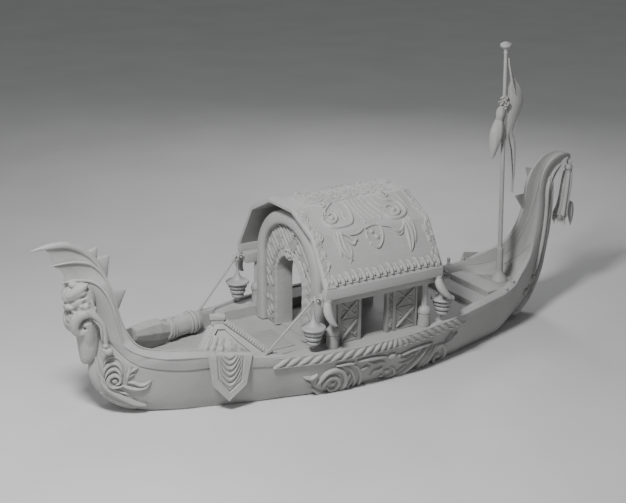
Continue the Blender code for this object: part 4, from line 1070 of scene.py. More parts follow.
def make_rope_moulding(side, sy):
    """Slanting rounded bars along the deck edge, leaning one way ahead of midships and the other way aft."""
    piece = Piece("slanted_bars_" + side)
    low_z, high_z = .770, .958
    for x, lean, wide in BARS:
        rows = []
        for i in range(9):
            t = i / 8
            z = low_z + (high_z - low_z) * t
            xc = x + lean * (.5 - t)
            half = wide * min(1.0, .60 + 2.5 * min(t, 1 - t))
            push = .066 * sin(pi * (.12 + .76 * t)) ** .6
            row = []
            for c in range(9):
                a = -1 + c / 4
                bulge = max(0.0, 1 - a * a) ** .5
                xx = xc + half * a
                row.append(Vector((xx, sy * (rail_out(xx) - .026 + push * bulge), z)))
            rows.append(row)
        piece.grid(rows)
    for z0, w in ((.768, .016), (.960, .014)):
        pts = [Vector((x, sy * (rail_out(x) - .002), z0)) for x in (2.42 - 4.62 * i / 59 for i in range(60))]
        tube(piece, pts, [w] * len(pts), 8, 1)
    made = piece.build(CARVED_MAT, angle=60)
    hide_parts("rope_moulding_" + side)


def make_feathers(side, sy):
    """Long carved feather scrolls along the outer edge of the stern."""
    piece = Piece("stern_feather_scrolls_" + side)
    s = SIDE_SURF[sy]
    h = .066
    stroke(piece, s, [(-4.62, .10), (-4.80, .24), (-4.98, .46), (-5.14, .76), (-5.25, 1.08), (-5.33, 1.45)],
           [.007, .046, .058, .056, .046, .016], h, "blade")
    stroke(piece, s, [(-4.98, .60), (-5.06, .82), (-5.17, 1.10), (-5.26, 1.44), (-5.34, 1.84), (-5.40, 2.24),
                      (-5.42, 2.62)],
           [.012, .042, .056, .058, .053, .044, .014], h, "scoop")
    stroke(piece, s, [(-4.90, .98), (-5.00, 1.16), (-5.11, 1.42), (-5.20, 1.74), (-5.27, 2.10), (-5.31, 2.50),
                      (-5.34, 2.86), (-5.42, 3.10)],
           [.009, .039, .049, .051, .049, .046, .039, .012], h, "round")
    stroke(piece, s, [(-5.36, 1.55), (-5.42, 1.86), (-5.47, 2.22), (-5.50, 2.55), (-5.49, 2.84),
                      (-5.52, 3.02)],
           [.009, .035, .042, .042, .035, .009], h, "round")
    stroke(piece, s, [(-5.36, 2.70), (-5.42, 2.94), (-5.52, 3.12), (-5.66, 3.27), (-5.80, 3.36)],
           [.009, .039, .044, .035, .009], h, "scoop")
    stroke(piece, s, [(-4.30, .175), (-4.46, .205), (-4.62, .265), (-4.80, .400), (-4.96, .590)],
           [.006, .044, .062, .056, .016], h * 1.5, "blade")
    stroke(piece, s, spiral(-4.640, .640, .085, .024, 1.2, 200), [.012, .032, .030, .014], h)
    stroke(piece, s, spiral(-4.905, .86, .085, .022, -1.2, 250), [.012, .030, .028, .014], h * .8)
    leaf(piece, s, (-5.28, 2.30), (-5.30, 2.66), .050, .045, .10)
    leaf(piece, s, (-5.38, 1.98), (-5.41, 2.34), .040, .040, -.10)
    leaf(piece, s, (-4.86, .72), (-4.76, .58), .040, .036, .18)
    made = piece.build(CARVED_MAT, angle=60)
    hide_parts("stern_feathers_" + side)


def make_stern_spikes():
    piece = Piece("stern_spikes")
    thorn(piece, (-5.44, 3.200), (-5.200, 2.690), (-5.045, 3.264), .040, -.235)
    thorn(piece, (-5.16, 2.660), (-5.100, 2.220), (-4.812, 2.641), .042, -.270)
    thorn(piece, (-4.36, 1.220), (-3.760, .960), (-3.934, 1.302), .040, -.880)
    made = piece.build(CARVED_MAT, angle=50)


def make_rail_ridges():
    """Two soft raised beads along the bow's rail: one on its ridge, one on its inner edge."""
    piece = Piece("bow_rail_ridges")
    pts = [Vector(s["c"]) + Vector((0, -.006, -.008)) for s in STATIONS[5:22]]
    tube(piece, pts, [.002, .010, .016, .020, .022, .024, .024, .024, .024, .024, .024, .024, .023, .022,
                      .020, .014, .003], 12, 5)
    pts = [Vector(s["a"]) + Vector((0, .020, .000)) for s in STATIONS[7:22]]
    tube(piece, pts, [.002, .008, .012] + [.014] * 10 + [.009, .002], 10, 5)
    piece.mirrored()
    made = piece.build(HULL_MAT, angle=60)


def make_stern_lines():
    """Two thin raised lines that follow the bulwark round the inside of the stern."""
    piece = Piece("stern_inner_lines")
    for line in ([(-5.440, 3.160), (-5.360, 2.850), (-5.310, 2.540), (-5.240, 2.200), (-5.140, 1.880),
                  (-4.960, 1.520), (-4.740, 1.270), (-4.500, 1.130), (-4.240, 1.060), (-3.900, 1.030)],
                 [(-5.230, 1.480), (-5.060, 1.270), (-4.820, 1.100), (-4.560, .980), (-4.300, .900)]):
        pts = []
        for x, z in line:
            hit = hull_tree.ray_cast(Vector((x, 0.0, z)), Vector((0, -1, 0)))
            if hit[0] is not None and abs(hit[0].y) < 1.2:
                pts.append(hit[0])
        if len(pts) > 3:
            tube(piece, pts, [.004] + [.011] * (len(pts) - 2) + [.004], 8, 8)
    piece.mirrored()
    made = piece.build(HULL_MAT, angle=60)


make_fan_ribs()
make_bow_spikes()
make_stern_spikes()
make_rail_ridges()
make_stern_lines()


# Cabin: posts, beams, roof, walls and screens

POST_X, POST_Y = 1.097, 1.450
CORNERS = {"fore_port": (1, 1), "fore_starboard": (1, -1), "aft_port": (-1, 1), "aft_starboard": (-1, -1)}
ROOF_FRONT = 1.42
ROOF_REAR = -1.344
ROOF_LINE = [Vector(p) for p in ((1.705, 2.202), (1.162, 3.129), (0.436, 3.496), (-0.436, 3.496),
                                 (-1.162, 3.129), (-1.705, 2.202))]


def rounded_line(points, radius):
    """A polyline with its corners rounded."""
    out = [points[0].copy()]
    for a, b, c in zip(points, points[1:], points[2:]):
        p = b + (a - b).normalized() * radius
        q = b + (c - b).normalized() * radius
        for t in (0.0, 0.2, 0.4, 0.6, 0.8, 1.0):
            out.append(p * (1 - t) ** 2 + b * (2 * t * (1 - t)) + q * t * t)
    out.append(points[-1].copy())
    return out


def offset_line(points, distance):
    """The polyline moved sideways by distance, mitred at its corners."""
    out = []
    for i, p in enumerate(points):
        a = points[max(i - 1, 0)]
        b = points[min(i + 1, len(points) - 1)]
        d0 = (p - a).normalized() if i else (b - p).normalized()
        d1 = (b - p).normalized() if i < len(points) - 1 else d0
        n = Vector((-(d0.y + d1.y), d0.x + d1.x)).normalized()
        m = Vector((-d0.y, d0.x))
        out.append(p + n * (distance / max(n.dot(m), 0.3)))
    return out


ROOF_SKIN = rounded_line(ROOF_LINE, 0.05)
ROOF_LENGTHS = [0.0]
for low, high in zip(ROOF_SKIN, ROOF_SKIN[1:]):
    ROOF_LENGTHS.append(ROOF_LENGTHS[-1] + (high - low).length)
ROOF_HALF = 2.324
ROOF_SCALE = (ROOF_LENGTHS[-1] / 2) / ROOF_HALF


def roof_surf(x, d):
    """Point and normal on the roof's port half; d runs up from the eave to ROOF_HALF at the crown."""
    want = max(0.0, d * ROOF_SCALE)
    k = 0
    while k < len(ROOF_LENGTHS) - 2 and ROOF_LENGTHS[k + 1] < want:
        k += 1
    span = ROOF_LENGTHS[k + 1] - ROOF_LENGTHS[k]
    t = (want - ROOF_LENGTHS[k]) / max(span, 1e-9)
    p = ROOF_SKIN[k].lerp(ROOF_SKIN[k + 1], t)
    run = (ROOF_SKIN[k + 1] - ROOF_SKIN[k]).normalized()
    normal = Vector((0.0, run.y, -run.x))
    return Vector((x, p.x, p.y)), normal


def lumps(u, v, seed, freq):
    """Uneven rounded relief between 0 and about 1.4."""
    n = noise.noise(Vector((u * freq, v * freq, seed)))
    m = noise.noise(Vector((u * freq * 2.3 + 5.0, v * freq * 2.3, seed + 3.1)))
    return max(0.0, 0.45 + 0.85 * n + 0.45 * (1.0 - abs(m) * 3.0))


def make_roof():
    piece = Piece("roof_shell")
    outer = ROOF_SKIN
    inner = offset_line(outer, 0.075)
    soft_outer = offset_line(outer, 0.010)
    soft_inner = offset_line(outer, 0.065)
    rows = []
    for x, a, b in ((ROOF_FRONT - 0.001, soft_outer, soft_inner), (ROOF_FRONT - 0.012, outer, inner),
                    (0.7, outer, inner), (0.0, outer, inner), (-0.7, outer, inner),
                    (ROOF_REAR + 0.012, outer, inner), (ROOF_REAR + 0.001, soft_outer, soft_inner)):
        rows.append([Vector((x, p.x, p.y)) for p in a] + [Vector((x, p.x, p.y)) for p in reversed(b)])
    count = len(outer)
    piece.grid(rows, closed=True)
    for base in (0, (len(rows) - 1) * len(rows[0])):
        for k in range(count - 1):
            piece.faces.append((base + k, base + k + 1, base + 2 * count - 2 - k, base + 2 * count - 1 - k))
    for side in (1, -1):
        slab(piece, (ROOF_REAR, 1.5604 * side if side > 0 else -1.7045, 2.0204),
             (ROOF_FRONT, 1.7045 if side > 0 else -1.5604, 2.2015), 0.010)
    made = piece.build(ROOF_MAT, angle=28)
    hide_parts("roof_crown", "roof_upper_port", "roof_upper_starboard", "roof_lower_port", "roof_lower_starboard",
                "roof_fascia_port", "roof_fascia_starboard")
    ribs = Piece("roof_ribs_inside")
    for x in (0.62, 0.0, -0.62):
        line = offset_line(ROOF_SKIN, 0.070)
        deep = offset_line(ROOF_SKIN, 0.125)
        rows = [[Vector((x + 0.035, p.x, p.y)) for p in line], [Vector((x + 0.028, p.x, p.y)) for p in deep],
                [Vector((x - 0.028, p.x, p.y)) for p in deep], [Vector((x - 0.035, p.x, p.y)) for p in line]]
        ribs.grid(rows)
    ribs.build(ROOF_MAT, angle=30)


def edge_strip(piece, x_edge, inward, d_high, width, seed):
    """A raised strip along the roof's edge: wavy inner border, uneven carved relief on it."""
    steps, columns, d_low, height = 190, 14, 0.02, 0.040
    rows = []
    for i in range(steps + 1):
        d = d_low + (d_high - d_low) * i / steps
        wave = 0.028 * sin(d * 11.0 + seed) + 0.020 * sin(d * 23.0 + 1.3 * seed)
        step = 0.025 if sin(d * 6.1 + seed * 0.7) > 0.2 else 0.0
        w = width + wave + step
        row = []
        for c in range(columns + 1):
            t = c / columns
            x = x_edge + inward * w * t
            place, normal = roof_surf(x, d)
            rim = min(1.0, t / 0.06) * min(1.0, (1 - t) / 0.06)
            end = min(1.0, i / 3.0) * min(1.0, (steps - i) / 3.0)
            raised = height * (0.40 + 0.60 * lumps(x, d, seed, 9.0) * min(1.0, t / 0.2))
            row.append(place + normal * (raised * rim * end - 0.004))
        rows.append(row)
    piece.grid(rows)


def make_roof_relief():
    piece = Piece("roof_carving")
    s = roof_surf
    edge_strip(piece, ROOF_FRONT - 0.012, -1, 1.90, 0.20, 1.7)
    edge_strip(piece, ROOF_REAR + 0.012, 1, 2.22, 0.15, 5.2)
    h = 0.040
    stroke(piece, s, [(.83, 1.65), (.88, 1.58), (.95, 1.40), (.86, 1.24), (.62, 1.21), (.40, 1.26),
                      (.29, 1.46), (.26, 1.71), (.30, 1.87)],
           [.012, .027, .041, .044, .041, .039, .037, .032, .015], h)
    stroke(piece, s, [(.50, 1.88), (.64, 1.80), (.78, 1.68), (.82, 1.56)], [.010, .027, .032, .020], h * .8)
    stroke(piece, s, [(.77, 1.55), (.69, 1.60), (.61, 1.53), (.66, 1.41), (.79, 1.34), (.87, 1.44),
                      (.83, 1.53)],
           [.015, .032, .037, .034, .032, .024, .010], h)
    boss(piece, s, .735, 1.47, .055, .055, .050)
    stroke(piece, s, [(.47, 1.68), (.44, 1.56), (.48, 1.40), (.41, 1.30)], [.007, .024, .024, .007], h * .7)
    stroke(piece, s, [(.56, 1.66), (.53, 1.54), (.55, 1.42)], [.007, .020, .007], h * .6)
    stroke(piece, s, spiral(.75, 1.86, .075, .025, 1.2, 90), [.015, .027, .022, .012], h * .8)
    for top, mid, low, w in (((.18, 1.89), (.16, 1.55), (.10, 1.20), .024),
                             ((.09, 1.89), (.07, 1.55), (-.01, 1.20), .026),
                             ((.0, 1.89), (-.04, 1.56), (-.14, 1.24), .026),
                             ((-.11, 1.89), (-.16, 1.55), (-.29, 1.22), .028),
                             ((-.24, 1.88), (-.30, 1.58), (-.40, 1.30), .026),
                             ((-.36, 1.88), (-.40, 1.66), (-.46, 1.50), .020)):
        stroke(piece, s, [top, mid, low], [w * .55, w, w * .35], h)
    stroke(piece, s, [(-.51, 1.88), (-.58, 1.76), (-.68, 1.68), (-.81, 1.66), (-.92, 1.53), (-.91, 1.30),
                      (-.74, 1.18), (-.52, 1.18), (-.42, 1.30), (-.46, 1.45)],
           [.012, .027, .034, .041, .044, .044, .041, .037, .027, .012], h)
    stroke(piece, s, [(-.55, 1.50), (-.64, 1.54), (-.76, 1.49), (-.80, 1.36), (-.70, 1.26), (-.60, 1.28),
                      (-.57, 1.38)],
           [.012, .029, .037, .037, .032, .022, .010], h)
    boss(piece, s, -.68, 1.40, .052, .052, .048)
    stroke(piece, s, spiral(-.75, 1.84, .070, .022, -1.2, 90), [.015, .024, .020, .012], h * .8)
    stroke(piece, s, [(-.97, 1.84), (-1.02, 1.60), (-1.00, 1.36)], [.007, .027, .007], h * .7)
    leaf(piece, s, (.79, 1.10), (.64, .48), .098, .046, .12)
    leaf(piece, s, (.88, 1.02), (.72, .44), .060, .036, -.22)
    leaf(piece, s, (.93, 1.06), (.88, .58), .044, .032, -.06)
    stroke(piece, s, [(.75, 1.04), (.62, .98), (.50, .87), (.55, .80), (.64, .88)],
           [.012, .029, .037, .032, .010], h * .9)
    stroke(piece, s, [(.65, .99), (.39, 1.00), (.22, 1.07)], [.012, .032, .007], h * .8)
    boss(piece, s, .47, .88, .050, .045, .042)
    pendant = [(.19, 1.06), (.03, 1.10), (-.13, 1.08), (-.17, .95), (-.15, .84), (-.10, .74), (.01, .64),
               (.09, .70), (.15, .79), (.20, .89), (.19, 1.00)]
    stroke(piece, s, pendant, [.017, .022, .020, .024, .020, .024, .022, .024, .020, .024, .017], h * .85)
    for u, v, r in ((-.15, .90, .035), (-.12, .77, .034), (.02, .66, .036), (.14, .75, .034),
                    (.19, .87, .035), (-.03, .86, .060), (.06, .98, .050)):
        boss(piece, s, u, v, r, r, .032)
    stroke(piece, s, [(-.19, 1.05), (-.40, 1.00), (-.50, .90), (-.62, .90), (-.71, 1.02)],
           [.007, .032, .041, .037, .012], h)
    stroke(piece, s, [(-.47, .86), (-.58, .82), (-.67, .90)], [.010, .029, .010], h * .8)
    leaf(piece, s, (-.74, 1.10), (-.70, .43), .098, .046, -.10)
    leaf(piece, s, (-.86, 1.16), (-.86, .58), .056, .036, -.06)
    pitch = 2.42 / 15
    for k in range(16):
        x = 1.21 - pitch * k
        w = 0.9 + 0.2 * noise.noise(Vector((k * 1.7, 0.3, 0.0)))
        leaf(piece, s, (x - .045, .08), (x + .034, .345 * w), .058, .066, .12, "round", 7)
        boss(piece, s, x + .036, .165, .040, .058, .046)
        boss(piece, s, x - .050, .115, .034, .034, .034)
        boss(piece, s, x - .002, .30 * w, .030, .040, .050)
    stroke(piece, s, [(1.22, .085), (0.0, .085), (-1.22, .085)], [.017, .017, .017], .016, "round",
           smooth=False)
    stroke(piece, s, [(.80, 1.95), (.35, 1.945), (-.10, 1.96)], [.012, .037, .015], .022)
    stroke(piece, s, [(1.02, 2.08), (.80, 2.05), (.58, 2.09)], [.012, .041, .012], .026)
    for k in range(10):
        x = 1.00 - .21 * k
        turn = 1 if k % 2 else -1
        stroke(piece, s, spiral(x, 2.16, .085, .022, 1.1 * turn, 200 * turn), [.015, .037, .029, .015], .024)
        leaf(piece, s, (x - .05, 2.02), (x - .15, 2.12), .040, .020, .2)
    piece.mirrored()
    rows = []
    for i in range(131):
        x = 1.12 - 2.20 * i / 130
        row = []
        for c in range(13):
            v = -1 + 2 * c / 12
            end = min(1.0, i / 5.0, (130 - i) / 5.0)
            hh = .046 * lumps(x, v, 9.0, 6.5) * (1 - v * v) ** .5 * end
            row.append((x, .13 * v, 3.492 + hh))
        rows.append(row)
    piece.grid(rows)
    made = piece.build(CARVED_MAT, angle=60)


make_roof()
make_roof_relief()


def make_posts():
    z = SIDE_DECK_Z + 0.001
    foot = [(.0002, z), (.0002, z), (.128, z), (.128, z), (.1325, z + .025), (.127, z + .10), (.120, z + .18),
            (.124, z + .235), (.124, z + .235), (.114, z + .247), (.114, z + .262), (.131, z + .272),
            (.131, z + .272), (.1355, z + .300), (.131, z + .345), (.112, z + .385), (.084, z + .415),
            (.070, z + .437), (.0655, z + .470), (.064, z + .60), (.0645, z + .78), (.068, z + .870),
            (.068, z + .870), (.080, z + .880), (.084, z + .895), (.078, z + .914), (.078, z + .914),
            (.0002, z + .914)]
    for name, (sx, sy) in CORNERS.items():
        piece = Piece("turned_post_" + name)
        lathe(piece, dense(foot), (sx * POST_X, sy * POST_Y, 0.0), 36)
        made = piece.build(POST_MAT, angle=34)
        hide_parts("cabin_post_" + name)


def make_beams():
    for side, sy in SIDES:
        piece = Piece("eave_bar_" + side)
        ys = sorted((1.3604 * sy, 1.5596 * sy))
        slab(piece, (-1.3236, ys[0], 1.8464), (1.3996, ys[1], 2.0556), 0.012)
        made = piece.build(ROOF_MAT, angle=30)
        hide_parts("eave_beam_" + side)


def arch_line(half, spring, top, low, steps=36, foot=10):
    """(y, z) points from the port foot over the top to the starboard foot."""
    out = [Vector((half, low + (spring - low) * k / foot)) for k in range(foot)]
    for k in range(steps + 1):
        a = pi * k / steps
        out.append(Vector((half * cos(a), spring + (top - spring) * sin(a))))
    out += [Vector((-half, spring - (spring - low) * (k + 1) / foot)) for k in range(foot)]
    return out


def band(piece, line, section, x0, facing, shape=None):
    """Sweeps a closed section of (outward, forward) points along a (y, z) line on an end wall."""
    rows = []
    total = len(line) - 1
    for i, p in enumerate(line):
        t = (line[min(i + 1, total)] - line[max(i - 1, 0)]).normalized()
        n = Vector((t.y, -t.x))
        row = []
        for o, f in section:
            if shape:
                o, f = shape(i / total, o, f)
            row.append(Vector((facing * (x0 + f), p.x + n.x * o, p.y + n.y * o)))
        rows.append(row)
    piece.solid(rows)


WALL_FACE = 1.170
WALL_BACK = 1.1004
FLOOR_TOP = 0.7455
DOOR_SPRING = 1.86      # heights where the door's and the wall's arches spring
WALL_SPRING = 2.15


def panel_room(y, z):
    """True where the slatted panel shows: inside the ring and outside the door's trim."""
    if z < FLOOR_TOP + .03:
        return False

    def under(half, spring, rise):
        return abs(y) < half if z < spring else (y / half) ** 2 + ((z - spring) / rise) ** 2 < 1

    return under(.905, WALL_SPRING, .865) and not under(.625, DOOR_SPRING, .635)


def make_wall(name, facing):
    """An end wall: rough panel, fat ring, door trim, broken slats and a carved crown."""
    panel = Piece(name + "_panel")
    door = arch_line(.502, DOOR_SPRING, 2.382, FLOOR_TOP)
    arch = arch_line(1.03, WALL_SPRING, 3.11, FLOOR_TOP)
    rows = []
    cells = 16
    for d, a in zip(door, arch):
        row = []
        for k in range(cells + 1):
            p = d.lerp(a, k / cells)
            rough = .006 * lumps(p.x, p.y, 2.0 * facing, 9.0) + .004 * lumps(p.x, p.y, 6.0, 24.0)
            if k in (0, cells):
                rough = 0.0
            row.append(Vector((facing * (WALL_FACE + rough), p.x, p.y)))
        for k in reversed(range(0, cells + 1, 4)):
            p = d.lerp(a, k / cells)
            row.append(Vector((facing * WALL_BACK, p.x, p.y)))
        rows.append(row)
    panel.solid(rows)
    made = panel.build(LATTICE_MAT, angle=40)
    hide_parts(name)

    ring = Piece(name + "_ring")
    section = []
    for a in around(22):
        ca, sa = cos(a), sin(a)
        section.append((.142 * copysign(abs(ca) ** .72, ca), .112 * copysign(abs(sa) ** .62, sa) - .016 * ca))

    def flare(t, o, f):
        foot = exp(-(min(t, 1 - t) / .10) ** 2)
        return o * (1.0 + .16 * foot) + .012 * foot, f

    band(ring, arch_line(1.052, WALL_SPRING, 3.160, FLOOR_TOP, 60, 8), section, 1.185, facing, flare)
    ring.build(POST_MAT, angle=50)

    trim = Piece(name + "_door_trim")
    edge = [(.0, -.34), (.0, .022), (.012, .040), (.036, .047), (.060, .036), (.074, .028), (.096, .030),
            (.120, .022), (.140, .002), (.140, -.020), (.030, -.060), (.030, -.34)]

    def leafy(t, o, f):
        wave = .5 + .5 * sin(t * 150.0)
        if o > .08:
            return o + .016 * wave - .006, f + .006 * wave
        if f > .02:
            return o, f + .004 * sin(t * 150.0 + 1.0)
        return o, f

    band(trim, arch_line(.4805, DOOR_SPRING, 2.36, FLOOR_TOP, 96, 44), edge, WALL_FACE, facing, leafy)
    trim.build(CARVED_MAT, angle=50)

    slats = Piece(name + "_slats")
    lean = Vector((.63, -.777)).normalized()
    centre = Vector((0.0, 1.9))

    def rods(direction, offset, width, seed, breaks):
        """One slat across the wall, broken where the noise or the door cuts it."""
        run = []
        start = centre + Vector((direction.y, -direction.x)) * offset - direction * 2.2
        steps = 220
        for k in range(steps + 1):
            p = start + direction * (4.4 * k / steps)
            inside = panel_room(p.x, p.y)
            cut = noise.noise(Vector((seed, k * breaks, 0.0))) > .34
            if inside and not cut:
                run.append(p)
            if (not inside or cut or k == steps) and run:
                if len(run) > 4:
                    n = len(run)
                    pts = []
                    rr = []
                    for j in range(0, n, 3):
                        q = run[j]
                        sway = .010 * noise.noise(Vector((q.x * 3, q.y * 3, seed)))
                        pts.append(Vector((facing * (WALL_FACE + .012), q.x + sway, q.y)))
                        knot = 1.25 if (j // 3) % 5 == 2 else 1.0
                        end = .45 if j == 0 or j + 3 >= n else 1.0
                        rr.append(width * knot * end)
                    if len(pts) > 2:
                        tube(slats, pts, rr, 8, 2)
                run = []

    for k in range(-15, 16):
        width = .034 if k % 3 == 0 else .024
        rods(lean, k * .118 + .02 * noise.noise(Vector((k * 2.3, 1.0, 0.0))), width, k * 3.7 + 50.0, .11)
    for k, offset in enumerate((-1.15, -.62, -.12, .42, .95, 1.42)):
        rods(Vector((.45, .893)), offset, .021, k * 5.1 + 90.0, .17)
    slats.build(LATTICE_MAT, angle=60)

    crown = Piece(name + "_carving")

    def face(y, z):
        return Vector((facing * (WALL_FACE + .030), y, z)), Vector((facing, 0, 0))

    for sy in (1, -1):
        stroke(crown, face, [(p[0] + .02, p[1]) for p in spiral(.075 * sy, 2.43, .085, .020, 1.25 * sy, 270)],
               [.016, .026, .022, .012], .036)
        leaf(crown, face, (.03 + .05 * sy, 2.36), (.02 + .20 * sy, 2.33), .034, .030, .2 * sy)
        leaf(crown, face, (.02 + .05 * sy, 2.48), (.02 + .14 * sy, 2.57), .026, .026, -.2 * sy)
    boss(crown, face, .02, 2.39, .050, .060, .060)
    boss(crown, face, .02, 2.50, .036, .045, .044)
    for y, z, r in ((-.05, 2.33, .030), (.09, 2.335, .030), (.02, 2.315, .028)):
        boss(crown, face, y, z, r, r, .036)
    stroke(crown, face, spiral(.14, 3.06, .070, .018, 1.2, 90), [.014, .026, .020, .010], .032)
    stroke(crown, face, spiral(.19, 2.93, .055, .016, -1.2, 60), [.012, .022, .018, .010], .030)
    leaf(crown, face, (.10, 3.10), (-.06, 3.085), .036, .028, .25)
    leaf(crown, face, (.22, 2.97), (.30, 2.86), .028, .024, .2)
    crown.build(CARVED_MAT, angle=60)


def make_screen(side, sy):
    """Side screen: two framed panels with crossed bars, an open doorway and a carved strip beside it."""
    frame_piece = Piece("side_screen_frame_" + side)
    low = SIDE_DECK_Z + .001
    high = 1.8455

    stile, panel, rail, strip = (1.302, 1.412), (1.322, 1.386), (1.310, 1.402), (1.318, 1.392)
    for x0, x1, depth, z0, z1 in (
            (.885, .954, stile, low, high), (.402, .470, stile, low, high), (.462, .892, panel, low, high),
            (.462, .892, rail, high - .060, high), (.462, .892, rail, low, low + .055),
            (-.262, -.202, stile, low, high), (-.430, -.352, stile, low, high),
                                  (-.360, -.256, strip, low, high),
            (-.954, -.912, stile, low, high), (-.918, -.424, panel, low, high),
            (-.918, -.424, rail, high - .055, high), (-.918, -.424, rail, low, low + .050)):
        ys = sorted((depth[0] * sy, depth[1] * sy))
        slab(frame_piece, (x0, ys[0], z0), (x1, ys[1], z1))
    made = frame_piece.build(LATTICE_MAT, angle=30)
    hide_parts("side_screen_" + side)

    bars = Piece("side_screen_bars_" + side)

    def rod(a, b, w, lift=0.0, knots=True):
        pts = []
        rr = []
        for k in range(8):
            t = k / 7
            pts.append(Vector((a[0] + (b[0] - a[0]) * t, sy * (1.388 + lift), a[1] + (b[1] - a[1]) * t)))
            rr.append(w * (.55 if k in (0, 7) else 1.16 if knots and k == 4 else 1.0))
        tube(bars, pts, rr, 10, 2)

    for x0, x1 in ((.87, .49), (-.45, -.89)):
        mid = (x0 + x1) / 2
        for z0, z1 in ((1.42, 1.77), (1.00, 1.37)):
            rod((x0, z0), (x1, z1), .031, .014)
            rod((x0, z1), (x1, z0), .023, .004)
            zc = (z0 + z1) / 2
            for dx, dz in ((.12, 0.0), (-.12, 0.0), (0.0, .11), (0.0, -.11)):
                rod((mid + dx * .45, zc + dz * .45), (mid + dx * 1.25, zc + dz * 1.25), .014, .0, False)
        rod((x0, 1.395), (x1, 1.395), .018, .004, False)

    def face(x, z):
        return Vector((x, sy * 1.390, z)), Vector((0, sy, 0))

    for k in range(7):
        z = 1.02 + .115 * k
        turn = 1 if k % 2 else -1
        leaf(bars, face, (-.308 - .030 * turn, z), (-.308 + .036 * turn, z + .115), .030, .034, .15 * turn)
        boss(bars, face, -.308 + .020 * turn, z + .02, .020, .024, .028)
    for x, z in ((.49, 1.60), (.49, 1.18), (-.46, 1.55), (-.46, 1.14)):
        leaf(bars, face, (x + .02, z + .05), (x + .075, z - .03), .022, .018, .2)
        leaf(bars, face, (x + .02, z - .06), (x + .07, z - .12), .018, .016, -.2)
    bars.build(LATTICE_MAT, angle=60)


make_posts()
make_beams()
make_wall("front_wall", 1)
make_wall("rear_wall", -1)
for side_name, side_sign in SIDES:
    make_screen(side_name, side_sign)


def make_soles():
    """Planked floors of the cabin and of the fore well."""
    piece = Piece("floor_planks")
    for x0, x1, y0, y1 in ((-1.088, 1.088, -1.158, 1.158), (1.425, 3.595, -.336, .596)):
        count = int((y1 - y0) / .145)
        wide = (y1 - y0) / count
        for k in range(count):
            slab(piece, (x0, y0 + k * wide + .0012, .715), (x1, y0 + (k + 1) * wide - .0012, .7450), .003)
    made = piece.build(DECK_MAT, angle=30)


make_soles()


# Lanterns, brackets, tusks and stays

LANTERNS = {name: (1.555 if sx > 0 else -1.531, 1.484 * sy) for name, (sx, sy) in CORNERS.items()}
LANTERN_FLUTES = ((1.262, 1.395), (1.162, 1.253), (1.085, 1.128))    # heights of the three fluted tiers
LANTERN_LINE = [(.0002, 1.9300), (.0002, 1.9300), (.0105, 1.929), (.0165, 1.918), (.0170, 1.905),
                (.0110, 1.892), (.0090, 1.875), (.0120, 1.830), (.0170, 1.780), (.0250, 1.720),
                (.0350, 1.665), (.0500, 1.612), (.0720, 1.565), (.1010, 1.525), (.1350, 1.496),
                (.1700, 1.480), (.2020, 1.473), (.2020, 1.473), (.2300, 1.466), (.2440, 1.450),
                (.2455, 1.434), (.2360, 1.418), (.2100, 1.408), (.2100, 1.408), (.1760, 1.402),
                (.1700, 1.392), (.1700, 1.392), (.1840, 1.384), (.1960, 1.366), (.1960, 1.340),
                (.1830, 1.316), (.1560, 1.306), (.1560, 1.306), (.1340, 1.300), (.1300, 1.290),
                (.1300, 1.290), (.1500, 1.282), (.1660, 1.262), (.1640, 1.232), (.1490, 1.208),
                (.1220, 1.198), (.1220, 1.198), (.1040, 1.192), (.1010, 1.182), (.1010, 1.182),
                (.1200, 1.174), (.1320, 1.154), (.1280, 1.126), (.1120, 1.104), (.0860, 1.094),
                (.0860, 1.094), (.0560, 1.086), (.0420, 1.074), (.0440, 1.056), (.0360, 1.038),
                (.0180, 1.028), (.0002, 1.0255), (.0002, 1.0255)]


def make_lantern(name):
    x, y = LANTERNS[name]
    piece = Piece("hanging_lantern_" + name)
    rows = []
    for r, z in dense(LANTERN_LINE):
        row = []
        for a in around(64):
            rr = r
            if any(low < z < high for low, high in LANTERN_FLUTES):
                rr = r * (1.0 - .050 * abs(cos(8 * a)) ** 3)
            elif 1.415 < z < 1.470 and r > .20:
                rr = r * (1.0 - .012 * (.5 + .5 * cos(16 * a)))
            row.append((x + rr * cos(a), y + rr * sin(a), z))
        rows.append(row)
    piece.solid(rows)
    made = piece.build(METAL_MAT, "lantern_body_" + name, 45)
    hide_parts("lantern_" + name)


def blob(piece, centre, radii, turn=None, sides=12, rings=7):
    """A small rounded lump; turn is a rotation matrix."""
    rows = []
    for r in range(rings + 1):
        b = pi * r / rings - pi / 2
        row = []
        for a in around(sides):
            p = Vector((radii[0] * cos(b) * cos(a), radii[1] * cos(b) * sin(a), radii[2] * sin(b)))
            if turn is not None:
                p = turn @ p
            row.append(Vector(centre) + p)
        rows.append(row)
    piece.solid(rows)


def curved_leaf(piece, path):
    """A small cupped leaf along a path in space, facing up."""
    pts = smooth_path(path, 4)
    ww = smooth_values([.010, .022, .018, .003], 4)
    curl, thick = .35, .007
    upper = ((-1.0, -curl), (-.6, -.10 * curl), (-.14, .12), (0.0, .0), (.14, .12), (.6, -.10 * curl),
             (1.0, -curl))
    lower = ((.6, -.10 * curl), (0.0, -.05), (-.6, -.10 * curl))
    rows = []
    for i, (c, (t, _, _)) in enumerate(zip(pts, frames(pts))):
        n = (Vector((0, 0, 1)) - t * t.z).normalized()
        s = n.cross(t).normalized()
        w = max(ww[i], .002)
        rows.append([c + s * (k * w) + n * (lift * w) for k, lift in upper]
                    + [c + s * (k * w) + n * (lift * w - thick) for k, lift in lower])
    piece.solid(rows)


